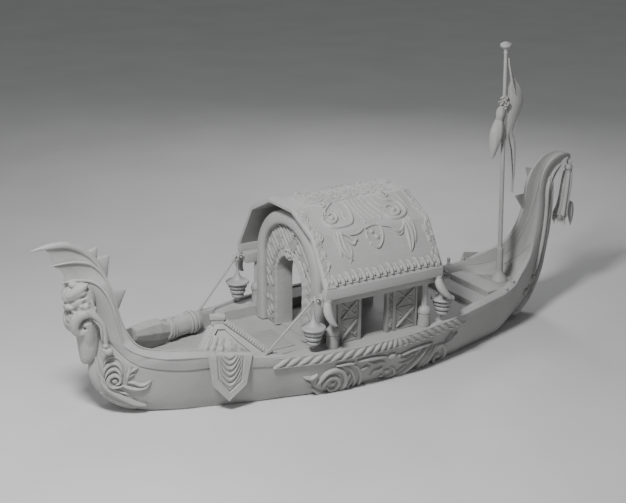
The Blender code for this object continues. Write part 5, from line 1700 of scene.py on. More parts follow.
def make_bracket(name):
    """A lantern's arm with its ring of small leaves and beads."""
    sx = CORNERS[name][0]
    x, y = LANTERNS[name]
    piece = Piece("lantern_arm_" + name)
    root = 1.401 if sx > 0 else -1.325
    tube(piece, [(root, y, 1.985), ((root + x) / 2, y, 1.992), (x - sx * .020, y, 1.992),
                 (x + sx * .035, y, 1.985)],
         [.040, .032, .030, .022], 12, 5)
    tube(piece, [(x, y, 1.992), (x, y, 1.965), (x, y, 1.950)], [.024, .020, .014], 12, 3)
    for k in range(9):
        a = tau * k / 9 + .3
        d = Vector((cos(a), sin(a), 0.0))
        base = Vector((x, y, 2.000)) - Vector((sx * .03, 0, 0)) + d * .018
        rise = .030 + .020 * sin(k * 2.4)
        curved_leaf(piece, [base, base + d * .035 + Vector((0, 0, rise)),
                            base + d * .075 + Vector((0, 0, rise * .6)),
                            base + d * .100 + Vector((0, 0, -.012))])
    blob(piece, (x - sx * .03, y, 2.020), (.034, .034, .030))
    for a in around(6):
        blob(piece, (x - sx * .06 + .030 * cos(a), y + .042 * sin(a), 1.990), (.020, .020, .018))
    made = piece.build(CARVED_MAT, angle=60)
    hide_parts("bracket_" + name)


def make_tusk(name):
    sx, sy = CORNERS[name]
    piece = Piece("horn_pendant_" + name)
    if sx > 0:
        path = [(1.345, 1.652, 2.000), (1.375, 1.690, 1.900), (1.378, 1.730, 1.780), (1.340, 1.775, 1.650),
                (1.275, 1.805, 1.560), (1.215, 1.818, 1.520)]
    else:
        path = [(-1.270, 1.652, 2.000), (-1.262, 1.690, 1.900), (-1.290, 1.730, 1.790),
                (-1.370, 1.775, 1.670), (-1.475, 1.805, 1.570), (-1.560, 1.818, 1.524)]
    path = [Vector((p[0], p[1] * sy, p[2])) for p in path]
    tube(piece, path, [.060, .082, .088, .070, .040, .006], 20, 6)
    top = path[0]
    down = (path[1] - path[0]).normalized()
    spin = down.to_track_quat("-Z", "Y").to_matrix()
    ring = [(.0002, .022), (.0002, .022), (.070, .022), (.070, .022), (.080, .014), (.082, .002),
            (.074, -.008), (.066, -.012), (.066, -.012), (.076, -.018), (.079, -.028), (.070, -.038),
            (.060, -.040), (.060, -.040), (.0002, -.040)]
    lathe(piece, dense(ring, 3), top + down * .012, 24, spin)
    made = piece.build(CARVED_MAT, angle=45)
    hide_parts("tusk_" + name)


def make_stay(side, sy):
    a = Vector((1.585, 1.484 * sy, 1.985))
    b = Vector((2.56, 1.335 * sy, 1.02))
    rope = Piece("stay_rope_" + side)
    pts = [a.lerp(b, k / 90) for k in range(91)]
    tube(rope, pts, [.0210] * 91, 15, 1, 62.0, 3, .16)
    for centre, away in ((a, (b - a).normalized()), (b, (a - b).normalized())):    # the wraps at the ends
        for k in range(4):
            p = centre + away * (.045 + .021 * k)
            tube(rope, [p - away * .012, p - away * .006, p + away * .006, p + away * .012],
                 [.020, .0290, .0290, .020], 14, 2)
    made = rope.build(ROPE_MAT, angle=70)
    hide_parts("stay_" + side)


for corner in CORNERS:
    make_lantern(corner)
    make_bracket(corner)
    make_tusk(corner)
for side_name, side_sign in SIDES:
    make_stay(side_name, side_sign)

make_mask()
for side_name, side_sign in SIDES:
    make_whisker(side_name, side_sign)
    make_forefoot(side_name, side_sign)
    make_midship(side_name, side_sign)
    make_rope_moulding(side_name, side_sign)
    make_feathers(side_name, side_sign)


# Fore well: draped stand, banner and ringed bolster

STAND_FORE = Vector((3.700, .860, 1.150))
STAND_AFT = Vector((2.330, 1.300, 1.050))
STAND_TOP = Vector((3.170, .620, 1.630))


def stand_axes():
    along = (STAND_AFT - STAND_FORE).normalized()
    foot = STAND_FORE + along * (STAND_TOP - STAND_FORE).dot(along)
    rise = (STAND_TOP - foot).normalized()
    out = along.cross(rise)
    if out.y < 0:
        out = -out
    return along, rise, out


STAND_ALONG, STAND_RISE, STAND_OUT = stand_axes()


def on_stand(u, v, w=0.0):
    """A point of the stand's leaning plane: u along its foot, v up its slope, w outward."""
    return STAND_FORE + STAND_ALONG * u + STAND_RISE * v + STAND_OUT * w


def stand_plate(piece, outline, low, high, bevel=.008):
    """A flat board of the stand from its outline in the leaning plane."""
    prism(piece, [on_stand(u, v, low) for u, v in outline], [on_stand(u, v, high) for u, v in outline], bevel)


def stand_line(piece, a, b, w, radius):
    """A straight bead on the stand from a to b."""
    steps = 18
    pts = [on_stand(a[0] + (b[0] - a[0]) * k / steps, a[1] + (b[1] - a[1]) * k / steps, w)
           for k in range(steps + 1)]
    tube(piece, pts, [radius] * (steps + 1), 8, 1)


def make_stand():
    piece = Piece("leaning_stand")
    stand_plate(piece, [(.470, .630), (.544, .668), (1.430, -.022), (1.285, -.030)], -.085, .012)
    stand_plate(piece, [(.460, .630), (1.275, -.030), (1.140, -.030), (.430, .560)], -.085, -.026, .004)
    stand_plate(piece, [(.470, .600), (1.172, -.030), (1.040, -.030), (.746, .245), (.440, .560)], -.085,
                -.004)
    stand_plate(piece, [(.240, .560), (.400, .480), (.105, -.020), (-.060, -.020), (-.040, .060)], -.085,
                .006)
    stand_plate(piece, [(.060, .010), (1.100, .010), (.430, .560), (.330, .520)], -.070, -.040, .003)
    stand_plate(piece, [(.330, .465), (.540, .465), (.520, .620), (.340, .620)], -.085, -.002, .003)
    made = piece.build(CARVED_MAT, angle=35)
    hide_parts("drape_frame")

    trim = Piece("stand_mouldings")
    stand_line(trim, (.560, .665), (1.420, -.010), .008, .014)
    stand_line(trim, (.505, .600), (1.285, -.020), .008, .010)
    stand_line(trim, (.480, .560), (1.100, -.020), -.006, .010)
    turn = Matrix((STAND_ALONG, STAND_RISE, STAND_OUT)).transposed()
    count = 17
    for k in range(count):
        s = (k + .5) / count
        blob(trim, on_stand(.545 + .770 * s, .606 - .606 * s, .014), (.026, .044, .030), turn, 12, 7)
    stand_line(trim, (.380, .460), (.100, .0), .004, .010)
    stand_line(trim, (.250, .520), (-.030, .050), .004, .012)
    for k in range(7):
        s = (k + .5) / 7
        p = on_stand(.305 - .280 * s, .480 - .410 * s, .004)
        blob(trim, p, (.030 + .006 * sin(k * 2.3), .020, .012), turn, 10, 6)
    trim.build(CARVED_MAT, angle=50)

    block = Piece("stand_apex_block")
    side = Vector((-STAND_ALONG.y, STAND_ALONG.x, 0.0)).normalized()
    if side.y < 0:
        side = -side
    up = side.cross(STAND_ALONG).normalized()
    if up.z < 0:
        up = -up
    axes = axes_at(STAND_ALONG, side, up, STAND_TOP)
    for size, where, seed in (((.296, .150, .085), (-.004, -.010, .068), 1.0),
                              ((.250, .120, .150), (.004, -.012, -.030), 7.0)):
        bm = bmesh.new()
        bmesh.ops.create_cube(bm, size=1.0)
        bmesh.ops.scale(bm, vec=size, verts=bm.verts)
        bevelled(bm, .012)
        bmesh.ops.subdivide_edges(bm, edges=bm.edges[:], cuts=6, use_grid_fill=True)
        for v in bm.verts:
            rough = noise.noise(v.co * 34.0 + Vector((seed, 0, 0))) + .7 * noise.noise(v.co * 75.0)
            high = v.co.z > size[2] * .4
            v.co.z += (.016 if high and seed < 2 else .002) * rough
            v.co.y += (.004 if seed < 2 else .010) * rough * (1 if v.co.y > 0 else .3)
            v.co.x += .004 * rough
        bmesh.ops.transform(bm, matrix=axes @ Matrix.Translation(where), verts=bm.verts)
        block.take(bm)
    block.build(CARVED_MAT, angle=40)


def sheet_from_rows(name, rows, thick=.005):
    """A thin cloth from a grid of points, thickened evenly about them."""
    piece = Piece(name)
    piece.grid(rows)
    made = piece.build(CLOTH_MAT, angle=180)
    return modified(made, "SOLIDIFY", thickness=thick, offset=0.0, use_even_offset=False)


def make_gathered_cloth():
    """Bunched cloth hung inside the stand: uneven pleats that swell over the rail."""
    top_line = smooth_path([(.235, .300, 0), (.310, .345, 0), (.390, .296, 0), (.520, .278, 0),
                            (.655, .240, 0), (.790, .130, 0), (.930, .000, 0)], 22)
    low_line = smooth_path([(.060, .030, 0), (.200, -.022, 0), (.380, -.040, 0), (.560, -.046, 0),
                            (.760, -.044, 0), (.920, -.038, 0), (1.030, -.033, 0)], 22)
    across = len(top_line) - 1
    down = 34
    rows = []
    for i in range(down + 1):
        t = i / down
        row = []
        for k in range(across + 1):
            s = k / across
            q = top_line[k].lerp(low_line[k], t)
            ends = min(1, s / .05, (1 - s) / .05)
            tuck = noise.noise(Vector((s * 5.0, t * 1.2, 3.0)))
            phase = tau * (6.0 * s + .55 * tuck + .25 * t)
            fold = abs(sin(phase / 2)) ** .7 * 2 - 1
            small = noise.noise(Vector((s * 19.0, t * 4.5, 8.0)))
            depth = .015 + .022 * sin(pi * min(1, .12 + t * .95)) ** .8
            belly = .062 * sin(pi * s) ** .6 * sin(pi * (.10 + .80 * t)) ** .9
            row.append(on_stand(q.x, q.y, .004 + (belly + depth * (.85 * fold + .75 * small)) * ends))
        rows.append(row)
    made = sheet_from_rows("gathered_cloth", rows)
    roll = Piece("rolled_hem")
    hem = ((.030, .020, .030), (.130, -.028, .050), (.260, -.052, .058), (.400, -.066, .060),
           (.580, -.074, .060), (.760, -.068, .056), (.900, -.060, .050), (1.040, -.052, .040))
    tube(roll, [on_stand(*p) for p in hem], [.016, .024, .027, .024, .028, .025, .026, .018], 12, 6)
    made = roll.build(CLOTH_MAT, angle=180)


BANNER = [Vector(p) for p in ((3.652, 1.200), (3.573, .580), (3.274, .228), (2.942, .536), (2.825, 1.110))]
BANNER_INNER = [Vector(p) for p in ((3.480, 1.190), (3.473, 1.115), (3.457, .694), (3.253, .410),
                                    (3.030, .623), (2.993, 1.042), (2.990, 1.120))]


def distance_to(line, q):
    """Distance from q to an open polyline."""
    best = 9.0
    for a, b in zip(line, line[1:]):
        run = b - a
        s = max(0.0, min(1.0, (q - a).dot(run) / run.length_squared))
        best = min(best, (q - (a + run * s)).length)
    return best


def inside_of(line, q):
    """True where q lies inside the polygon that line closes to."""
    odd = False
    for a, b in zip(line, line[1:] + line[:1]):
        if (a.y > q.y) != (b.y > q.y):
            if q.x < a.x + (b.x - a.x) * (q.y - a.y) / (b.y - a.y):
                odd = not odd
    return odd


def banner_lift(q):
    """Height of the banner's worked face: border band, deep inner outline and hanging swags."""
    gap = distance_to(BANNER_INNER, q)
    within = inside_of(BANNER_INNER, q)
    rim = distance_to(BANNER, q)
    lift = 0.0 if within else .014
    lift -= .030 * exp(-(gap / .012) ** 2)
    if not within:
        lift += .005 * exp(-((rim - .010) / .010) ** 2)
        lift += .004 * exp(-((gap - .026) / .012) ** 2)
    else:
        u = (q.x - 3.243) / .200
        depth = (1.005 - q.y) + .29 * u * u
        fade = max(0.0, min(1.0, (gap - .018) / .020, (.520 - depth) / .05, (1.15 - abs(u)) / .2))
        lift += .022 * cos(tau * (depth - .350) / .115) * fade
        lift += .006 * exp(-((gap - .030) / .010) ** 2)
    return lift


def make_banner():
    """A pointed banner over the rail: raised border, deep inner outline and swags that hang down."""
    front = Vector((.275, 1, 0)).normalized()

    def at(x, z):
        return Vector((x, 1.139 + (3.62 - x) * .275, z))

    def edge(a, b, c, t):
        return a.lerp(b, t / .60) if t < .60 else b.lerp(c, (t - .60) / .40)

    rows = []
    down, across = 112, 88
    for i in range(down + 1):
        t = min(i / down, .994)
        a = edge(BANNER[0], BANNER[1], BANNER[2], t)
        b = edge(BANNER[4], BANNER[3], BANNER[2], t)
        row = []
        for k in range(across + 1):
            s = k / across
            q = a.lerp(b, s)
            wave = .006 * sin(2.2 * pi * s + 1.5 * t) * t
            row.append(at(q.x, q.y) + front * (banner_lift(q) * min(1, .35 + t * 9) + wave + .004))
        rows.append(row)
    over = []
    for j in (4, 3, 2, 1):    # the part laid inboard over the rail
        rise = Vector((0, 0, .022 * sin(min(1.0, j / 2.2) * pi / 2)))
        over.append([p - front * (.030 * j * min(1, .6 + j * .1)) + rise for p in rows[0]])
    rows = over + rows
    made = sheet_from_rows("hanging_banner", rows)
    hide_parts("banner")


BOLSTER = ((4.380, -.600, 1.165, .140), (4.290, -.635, 1.150, .165), (4.100, -.720, 1.112, .202),
           (3.930, -.790, 1.085, .222), (3.800, -.835, 1.058, .236), (3.700, -.870, 1.022, .212),
           (3.580, -.915, .990, .198), (3.440, -.955, .962, .198), (3.240, -.990, .960, .203),
           (3.100, -1.010, .962, .205), (2.960, -1.032, .966, .203), (2.850, -1.050, .968, .202),
           (2.780, -1.064, .965, .196), (2.730, -1.075, .962, .182))


def clear_of_hull(p):
    """Keeps a point above the deck and within the starboard side."""
    p.z = max(p.z, .7213)
    if p.z < 1.16:
        skin = SIDE_SURF[-1](p.x, p.z)[0]
        if skin.y < -.4:
            p.y = max(p.y, skin.y + .035)
    return p


BOLSTER_SIDES = 48
EIGHT_SIDED_FROM = 3.50    # x from which the roll's fore end is eight-sided
SWELL_LIMIT = .016         # furthest that the simulation may move the cloth


def make_bolster():
    """A ringed roll of cloth along the starboard bulwark, swollen by a short cloth simulation."""
    path = smooth_path([Vector(p[:3]) for p in BOLSTER], 8)
    radii = smooth_values([p[3] for p in BOLSTER], 8)
    total = len(path) - 1
    sector = tau / 8
    rows = []
    for r, c, (t, _, _) in zip(radii, path, frames(path)):
        side = t.cross(Vector((0, 0, 1))).normalized()
        up = side.cross(t).normalized()
        row = []
        for a in around(BOLSTER_SIDES):
            rr = r
            if c.x > EIGHT_SIDED_FROM:
                b = ((a + tau / 16) % sector) - sector / 2
                rr = r * (1 - (1 - cos(sector / 2) / cos(b - copysign(sector / 2, b))))
            row.append(c + side * (rr * cos(a)) + up * (rr * sin(a)))
        rows.append(row)
    piece = Piece("bolster_roll_cloth")
    piece.solid(rows)
    made = piece.build(CLOTH_MAT, angle=180)
    made = modified(made, "REMESH", mode="VOXEL", voxel_size=.0135)
    base = [v.co.copy() for v in made.data.vertices]
    group = made.vertex_groups.new(name="held")
    for v in made.data.vertices:
        near = min(abs(v.co.x - 3.44), abs(v.co.x - 2.88), abs(v.co.x - 2.73))
        if near < .045 or v.co.x > EIGHT_SIDED_FROM:
            group.add([v.index], 1.0, "REPLACE")
    soft = made.modifiers.new("swell", "CLOTH")
    soft.settings.quality = 5
    soft.settings.mass = .3
    soft.settings.use_pressure = True
    soft.settings.uniform_pressure_force = 4.0
    soft.settings.vertex_group_mass = "held"
    soft.settings.tension_stiffness = 12
    soft.settings.compression_stiffness = 12
    soft.settings.shear_stiffness = 6
    soft.settings.effector_weights.gravity = 0.0
    soft.point_cache.frame_start = 1
    soft.point_cache.frame_end = 20
    for f in range(1, 21):
        bpy.context.scene.frame_set(f)
    graph = bpy.context.evaluated_depsgraph_get()
    swollen = [v.co.copy() for v in made.evaluated_get(graph).data.vertices]
    made.modifiers.clear()
    made.vertex_groups.clear()
    bpy.context.scene.frame_set(1)
    if len(swollen) == len(base):
        for v, b, s in zip(made.data.vertices, base, swollen):
            move = s - b
            if move.length > SWELL_LIMIT:
                move = move.normalized() * SWELL_LIMIT
            v.co = b + move
    bm = bmesh.new()
    bm.from_mesh(made.data)
    smooth_verts(bm, .5)
    bm.normal_update()
    for v in bm.verts:
        x = v.co.x
        soft_part = max(0.0, min(1.0, (3.52 - x) / .05))
        wrap = sin(x * 46.0 + 6.0 * noise.noise(Vector((x * 2.0, v.co.y * 3.0, v.co.z * 3.0))))
        v.co += v.normal * (soft_part * (.0018 * wrap + .0035 * noise.noise(v.co * 9.0))
                            + .0016 * noise.noise(v.co * 6.0))
        clear_of_hull(v.co)
    bm.to_mesh(made.data)
    bm.free()
    made.data.polygons.foreach_set("use_smooth", [True] * len(made.data.polygons))
    made.data.update()
    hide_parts("bolster_roll")

    rings = Piece("bolster_collars")

    def centre_at(x):
        k = min(range(len(path)), key=lambda j: abs(path[j].x - x))
        a = path[max(k - 1, 0)]
        b = path[min(k + 1, total)]
        return path[k], (b - a).normalized()

    for x, r, w in ((3.505, .222, .036), (3.430, .229, .020), (3.378, .225, .014), (2.975, .228, .020),
                    (2.905, .238, .034), (2.830, .231, .020)):
        c, t = centre_at(x)
        turn = t.to_track_quat("Z", "Y").to_matrix()
        outer = [(.170, -w), (.170, -w), (r - .012, -w), (r - .002, -w * .72), (r + .002, 0.0),
                 (r - .002, w * .72), (r - .012, w), (.170, w), (.170, w)]
        line = dense(outer, 3)
        rings.grid([[clear_of_hull(c + turn @ Vector((rr * cos(a), rr * sin(a), zz)))
                     for a in around(BOLSTER_SIDES)]
                    for rr, zz in line + [line[0]]], closed=True)
    made = rings.build(CARVED_MAT, angle=40)


make_stand()
make_gathered_cloth()
make_banner()
make_bolster()


# Stern: thwart, mast, flag, tassels and bollards

MAST_FOOT = Vector((-4.26, 0.0, .8404))
MAST_TILT = radians(1.7)
MAST_LEAN = Matrix.Rotation(MAST_TILT, 3, "Y")


def mast_at(z):
    """The mast's centre at height z."""
    t = (z - MAST_FOOT.z) / cos(MAST_TILT)
    return MAST_FOOT + MAST_LEAN @ Vector((0, 0, t))


def make_mast():
    piece = Piece("flag_mast")
    line = [(.0002, .0), (.0002, .0), (.184, .0), (.184, .0), (.186, .012), (.181, .030), (.168, .055),
            (.146, .092), (.122, .130), (.102, .170), (.089, .205), (.082, .235), (.079, .270), (.079, .270),
            (.077, .50), (.075, .760), (.075, .760), (.072, .772), (.060, .776), (.060, .776), (.056, .790),
            (.0505, .82), (.0490, 1.6), (.0465, 2.6), (.0430, 3.6), (.0395, 4.5), (.0370, 5.08),
            (.0370, 5.08), (.0455, 5.088), (.0455, 5.088), (.047, 5.105), (.0455, 5.120), (.0455, 5.120),
            (.040, 5.126), (.040, 5.126), (.0400, 5.150), (.050, 5.180), (.080, 5.208), (.110, 5.228),
            (.124, 5.250), (.126, 5.270), (.121, 5.290), (.121, 5.290), (.110, 5.302), (.110, 5.302),
            (.088, 5.306), (.083, 5.316), (.083, 5.316), (.050, 5.330), (.0002, 5.336), (.0002, 5.336)]
    lathe(piece, dense(line), MAST_FOOT, 32, MAST_LEAN)
    made = piece.build(POST_MAT, angle=32)
    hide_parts("mast")


DECK_TOP = .840


def make_stern_deck():
    """Boards laid athwart, cut to the narrowing stern."""
    outline = ((-4.62, .40), (-4.25, .49), (-3.90, .66), (-3.20, .90), (-2.90, .99))

    def half_at(x):
        for a, b in zip(outline, outline[1:]):
            if x <= b[0] + .0001:
                return a[1] + (b[1] - a[1]) * (x - a[0]) / (b[0] - a[0])
        return outline[-1][1]

    piece = Piece("stern_deck_boards")
    edges = [-2.90 - .172 * k for k in range(11)]
    for front, back in zip(edges, edges[1:]):
        back += .0008
        corners = ((front, -half_at(front)), (front, half_at(front)), (back, half_at(back)),
                   (back, -half_at(back)))
        prism(piece, [(x, y, FLOOR_Z + .0004) for x, y in corners], [(x, y, DECK_TOP) for x, y in corners],
              .0014)
    made = piece.build(DECK_MAT, angle=30)
    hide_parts("stern_deck")


def make_thwart():
    """The stern thwart, and four small bollards on the rail."""
    piece = Piece("stern_thwart")
    slab(piece, (-3.8396, -.6796, .8900), (-3.4004, .6796, .9498), .010)
    slab(piece, (-3.832, -.672, .8404), (-3.408, .672, .8906), .004)
    made = piece.build(DECK_MAT, angle=30)
    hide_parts("thwart")
    marks = Piece("rail_bollards")
    peg = [(.0002, -.04), (.0002, -.04), (.048, -.04), (.048, .004), (.044, .012), (.034, .018), (.033, .045),
           (.037, .085), (.041, .110), (.038, .135), (.026, .150), (.0002, .156), (.0002, .156)]
    low = [(.0002, -.03), (.0002, -.03), (.040, -.03), (.040, .010), (.030, .018), (.034, .035), (.040, .050),
           (.034, .068), (.018, .078), (.0002, .080), (.0002, .080)]
    for x, sy, line in ((-3.61, -1, peg), (-3.61, 1, low), (-3.91, 1, low), (-3.91, -1, low)):
        y = 1.005 if x > -3.7 else .865
        hit = hull_tree.ray_cast(Vector((x, y * sy, 2.0)), Vector((0, 0, -1)))
        z = hit[0].z if hit[0] else 1.05
        lathe(marks, dense(line, 3), (x, y * sy, z), 20)
    made = marks.build(POST_MAT, angle=40)


FLAG = [(5.83, -4.160, -4.172), (5.72, -4.172, -4.200), (5.62, -4.204, -4.240), (5.48, -4.234, -4.320),
        (5.34, -4.260, -4.404), (5.24, -4.236, -4.488), (5.18, -4.212, -4.530), (5.10, -4.212, -4.575),
        (4.96, -4.216, -4.622), (4.83, -4.226, -4.636), (4.68, -4.220, -4.612), (4.51, -4.212, -4.560),
        (4.36, -4.212, -4.502), (4.24, -4.206, -4.464), (4.14, -4.196, -4.462), (4.02, -4.236, -4.482),
        (3.88, -4.290, -4.500), (3.75, -4.325, -4.510), (3.55, -4.362, -4.518), (3.35, -4.400, -4.524),
        (3.22, -4.424, -4.524), (3.10, -4.444, -4.500), (2.96, -4.468, -4.500), (2.84, -4.490, -4.502)]


def make_flag():
    """The furled flag: rows of (height, edge at the mast, outer edge), then a narrow fold beside the mast."""
    across = 40
    zs = smooth_path([(p[0], p[1], p[2]) for p in FLAG], 5)
    rows = []
    for i, q in enumerate(zs):
        z, inner, outer = q.x, q.y, q.z
        row = []
        belly = exp(-((z - 4.86) / .40) ** 2)
        tail = 1 / (1 + exp((z - 4.10) / .06))
        high = 1 / (1 + exp((5.42 - z) / .08))
        for k in range(across + 1):
            s = k / across
            x = inner + (outer - inner) * s
            ends = min(1, s / .06, (1 - s) / .06)
            y = .016 + .060 * sin(pi * s) ** .8 * belly
            y += .012 * sin(pi * 2.0 * s + 1.2 * z) * (1 - belly) * (1 - tail) * ends
            crease = .5 + .12 * sin(2.2 * z)
            y -= .012 * exp(-((s - .10) / .05) ** 2) * belly
            y -= .030 * exp(-((s - crease) / .10) ** 2) * high
            y += tail * (.026 * exp(-((s - .18) / .13) ** 2) - .050 * exp(-((s - .47) / .10) ** 2)
                         + .014 * sin(pi * min(1, max(0, (s - .55) / .45))))
            y += .003 * noise.noise(Vector((x * 5, z * 2, 1.0)))
            row.append(Vector((x, y, z)))
        rows.append(row)
    made = sheet_from_rows("furled_flag", rows)
    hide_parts("flag")
    strip = []
    for i in range(37):
        t = i / 36
        z = 5.835 - .76 * t
        c = mast_at(z)
        w = .008 + .030 * sin(pi * min(1, .04 + t * .98)) ** .8
        row = []
        for k in range(11):
            s = k / 10 - .5
            row.append(Vector((c.x - .048 - .150 * t ** 1.3 - w * s, .046 + .050 * t + .012 * cos(3 * s), z)))
        strip.append(row)
    fold = sheet_from_rows("flag_fold", strip, .004)


def make_flag_knot():
    piece = Piece("flag_lashing")
    for z, r in ((4.715, .052), (4.745, .055), (4.775, .052), (4.955, .050), (4.985, .052), (5.012, .048)):
        c = mast_at(z)
        ring = [c + MAST_LEAN @ Vector((r * cos(a), r * sin(a), .006 * sin(a))) for a in around(24, True)]
        tube(piece, ring, [.0145] * 25, 8, 1)
    for k in range(30):
        a = k * 2.399
        z = 4.715 + .29 * (k / 30)
        c = mast_at(z)
        r = .068 + .024 * noise.noise(Vector((k * 1.3, .5, .0)))
        d = Vector((cos(a), sin(a), 0))
        turn = Matrix.Rotation(a, 3, "Z") @ Matrix.Rotation(k * 1.1, 3, "X")
        blob(piece, c + d * r, (.024, .042, .026), turn, 12, 7)
    for k in range(5):
        a = k * 1.256 + .4
        c = mast_at(4.86)
        d = Vector((cos(a), sin(a), 0))
        e = Vector((-sin(a), cos(a), 0))
        pts = [c + d * .05 + e * .02, c + d * .10 + e * .03 + Vector((0, 0, .04)),
               c + d * .115 + Vector((0, 0, .0)), c + d * .095 - e * .03 - Vector((0, 0, .035)),
               c + d * .05 - e * .02]
        tube(piece, pts, [.012, .014, .014, .014, .012], 8, 5)
    made = piece.build(ROPE_MAT, angle=70)
    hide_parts("flag_knot")


def make_flag_tassel():
    piece = Piece("wrapped_tassel")
    path = [(-4.076, .0, 4.800), (-4.062, .0, 4.742), (-4.050, .0, 4.670), (-4.040, .0, 4.600),
            (-4.030, .0, 4.545), (-4.016, .0, 4.470), (-3.992, .0, 4.340), (-3.962, .0, 4.190),
            (-3.938, .0, 4.030), (-3.914, .0, 3.880), (-3.892, .0, 3.750), (-3.870, .0, 3.660)]
    tube(piece, path, [.034, .078, .092, .084, .066, .098, .128, .137, .118, .082, .042, .004], 32, 7, 1.1, 7,
         .030)
    made = piece.build(CLOTH_MAT, angle=180)
    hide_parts("flag_tassel")
    ties = Piece("tassel_ties")
    for r, c in ((.074, (-4.033, 0, 4.560)), (.074, (-4.029, 0, 4.538)), (.070, (-4.064, 0, 4.750))):
        ring = [Vector(c) + Vector((r * cos(a), r * sin(a), .0)) for a in around(20, True)]
        tube(ties, ring, [.011] * 21, 8, 1)
    ties.build(ROPE_MAT, angle=70)


def make_stern_tassel():
    piece = Piece("hanging_stern_tassel")
    body = [(-6.104, .0, 3.125), (-6.098, .0, 3.070), (-6.084, .0, 2.92), (-6.058, .0, 2.70),
            (-6.024, .0, 2.47), (-5.984, .0, 2.27), (-5.946, .0, 2.14), (-5.930, .0, 2.085)]
    tube(piece, body, [.050, .092, .108, .112, .116, .128, .150, .146], 64, 8, .25, 7, .160)
    made = piece.build(CLOTH_MAT, angle=180)
    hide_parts("stern_tassel")
    rest = Piece("stern_tassel_fittings")
    blob(rest, (-6.105, .0, 3.180), (.092, .092, .082), None, 28, 16)
    ring = [Vector((-6.108, .055 * cos(a), 3.300 + .075 * sin(a))) for a in around(28, True)]
    tube(rest, ring, [.018] * 29, 10, 1)
    blob(rest, (-6.108, .0, 3.400), (.030, .034, .034), None, 16, 9)
    tube(rest, [(-6.105, 0, 3.47), (-6.106, 0, 3.43), (-6.108, 0, 3.39)], [.020, .024, .022], 12, 3)
    for z, r in ((3.112, .074), (3.088, .082)):
        lash = [Vector((-6.100 + r * cos(a), r * sin(a), z)) for a in around(24, True)]
        tube(rest, lash, [.012] * 25, 8, 1)
    made = rest.build(METAL_MAT, angle=50)
    fringe = Piece("stern_tassel_fringe")
    for k, a in enumerate(around(30)):
        r = .126 + .016 * cos(7 * a)
        length = .090 + .200 * max(0.0, noise.noise(Vector((k * 1.9, 2.0, 0.0)))) + .10 * (k % 3 == 0)
        c = Vector((-5.932 + r * cos(a), r * sin(a), 2.105 + .26 * r * cos(a)))
        tube(fringe, [c, c + Vector((.004, 0, -.03)), c + Vector((.012, 0, -length * .7)),
                      c + Vector((.018, 0, -length))],
             [.014, .017, .012, .003], 7, 3)
    lip = []
    for a in around(56, True):
        r = .145 * (1 + .08 * cos(7 * a))
        lip.append(Vector((-5.934 + r * cos(a), r * sin(a), 2.112 + .26 * r * cos(a))))
    tube(fringe, lip, [.013] * 57, 8, 1)
    made = fringe.build(ROPE_MAT, angle=70)
    blade = Piece("tassel_leaf")
    outline = [(2.372, .006), (2.350, .040), (2.300, .066), (2.220, .084), (2.120, .090), (2.020, .080),
               (1.930, .056), (1.850, .026), (1.790, .004)]
    rows = []
    for i, (z, w) in enumerate(outline):
        t = i / (len(outline) - 1)
        cx = -6.228 - .036 * t
        thick = .034 * (w / .09) ** .6 + .002
        rows.append([Vector((cx + w * cos(a), .020 + thick * copysign(abs(sin(a)) ** 1.4, sin(a)), z))
                     for a in around(24)])
    blade.solid(rows)
    tube(blade, [(-6.120, 0, 2.44), (-6.180, 0, 2.40), (-6.226, 0, 2.360)], [.012, .013, .012], 8, 3)
    tube(blade, [(-6.230, .050, 2.34), (-6.246, .058, 2.10), (-6.262, .032, 1.84)], [.006, .010, .004], 8, 4)
    made = blade.build(CARVED_MAT, angle=50)
    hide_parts("tassel_blade")


make_mast()
make_stern_deck()
make_thwart()
make_flag()
make_flag_knot()
make_flag_tassel()
make_stern_tassel()


# Floor at the waterline, light and camera

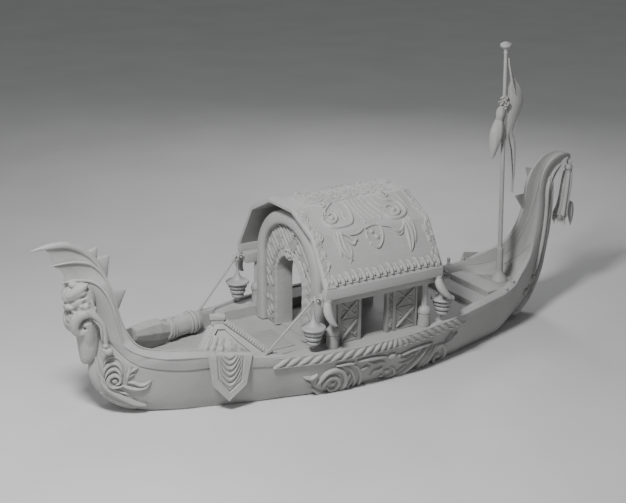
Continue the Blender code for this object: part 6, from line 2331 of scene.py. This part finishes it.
def studio():
    made, tree, shader, coords = new_material("pale_floor")
    soft = noise_node(tree, mapped(tree, coords), 0.4, 2.0, 0.5)
    colour = ramp(tree, soft, ((0.3, (0.60, 0.60, 0.597)), (0.7, (0.64, 0.64, 0.637))))
    tree.links.new(colour.outputs[0], shader.inputs["Base Color"])
    shader.inputs["Roughness"].default_value = 0.9
    shader.inputs["Specular IOR Level"].default_value = 0.2
    mesh = bpy.data.meshes.new("studio_floor")
    size = 260.0
    mesh.from_pydata([(-size, -size, 0), (size, -size, 0), (size, size, 0), (-size, size, 0)], [],
                     [(0, 1, 2, 3)])
    floor = bpy.data.objects.new("studio_floor", mesh)
    bpy.context.scene.collection.objects.link(floor)
    floor.data.materials.append(made)

    world = bpy.data.worlds.new("studio_world")
    bpy.context.scene.world = world
    world.use_nodes = True
    back = world.node_tree.nodes["Background"]
    back.inputs["Color"].default_value = (0.80, 0.81, 0.82, 1.0)
    back.inputs["Strength"].default_value = 0.22

    def area(name, where, aim, size, power):
        data = bpy.data.lights.new(name, "AREA")
        data.shape = "DISK"
        data.size = size
        data.energy = power
        light = bpy.data.objects.new(name, data)
        bpy.context.scene.collection.objects.link(light)
        light.location = where
        light.rotation_euler = (Vector(aim) - Vector(where)).to_track_quat("-Z", "Y").to_euler()

    area("key_light", (10.0, 7.0, 16.0), (-0.5, 0.0, 1.2), 3.2, 3850.0)
    area("fill_light", (20.0, 1.0, 8.0), (0.0, 0.0, 1.8), 4.0, 480.0)
    area("rim_light", (-10.0, -12.0, 12.0), (0.0, 0.0, 2.0), 6.0, 800.0)


def photo_camera():
    """The camera fitted to the photograph: where it stands, how it is turned, and its lens."""
    where = (14.538, 21.967, 11.333)
    pitch, yaw, roll = radians(19.01), radians(32.32), radians(0.44)
    ahead = Vector((-sin(yaw), -cos(yaw), 0.0))
    right = Vector((-cos(yaw), sin(yaw), 0.0))
    view = ahead * cos(pitch) + Vector((0, 0, -1)) * sin(pitch)
    up = right.cross(view)
    data = bpy.data.cameras.new("photo_camera")
    data.lens = 78.8
    data.sensor_width = 36.0
    data.clip_end = 1000.0
    camera = bpy.data.objects.new("photo_camera", data)
    bpy.context.scene.collection.objects.link(camera)
    camera.matrix_world = axes_at(right * cos(roll) + up * sin(roll), up * cos(roll) - right * sin(roll),
                                  -view, where)
    bpy.context.scene.camera = camera


studio()
photo_camera()
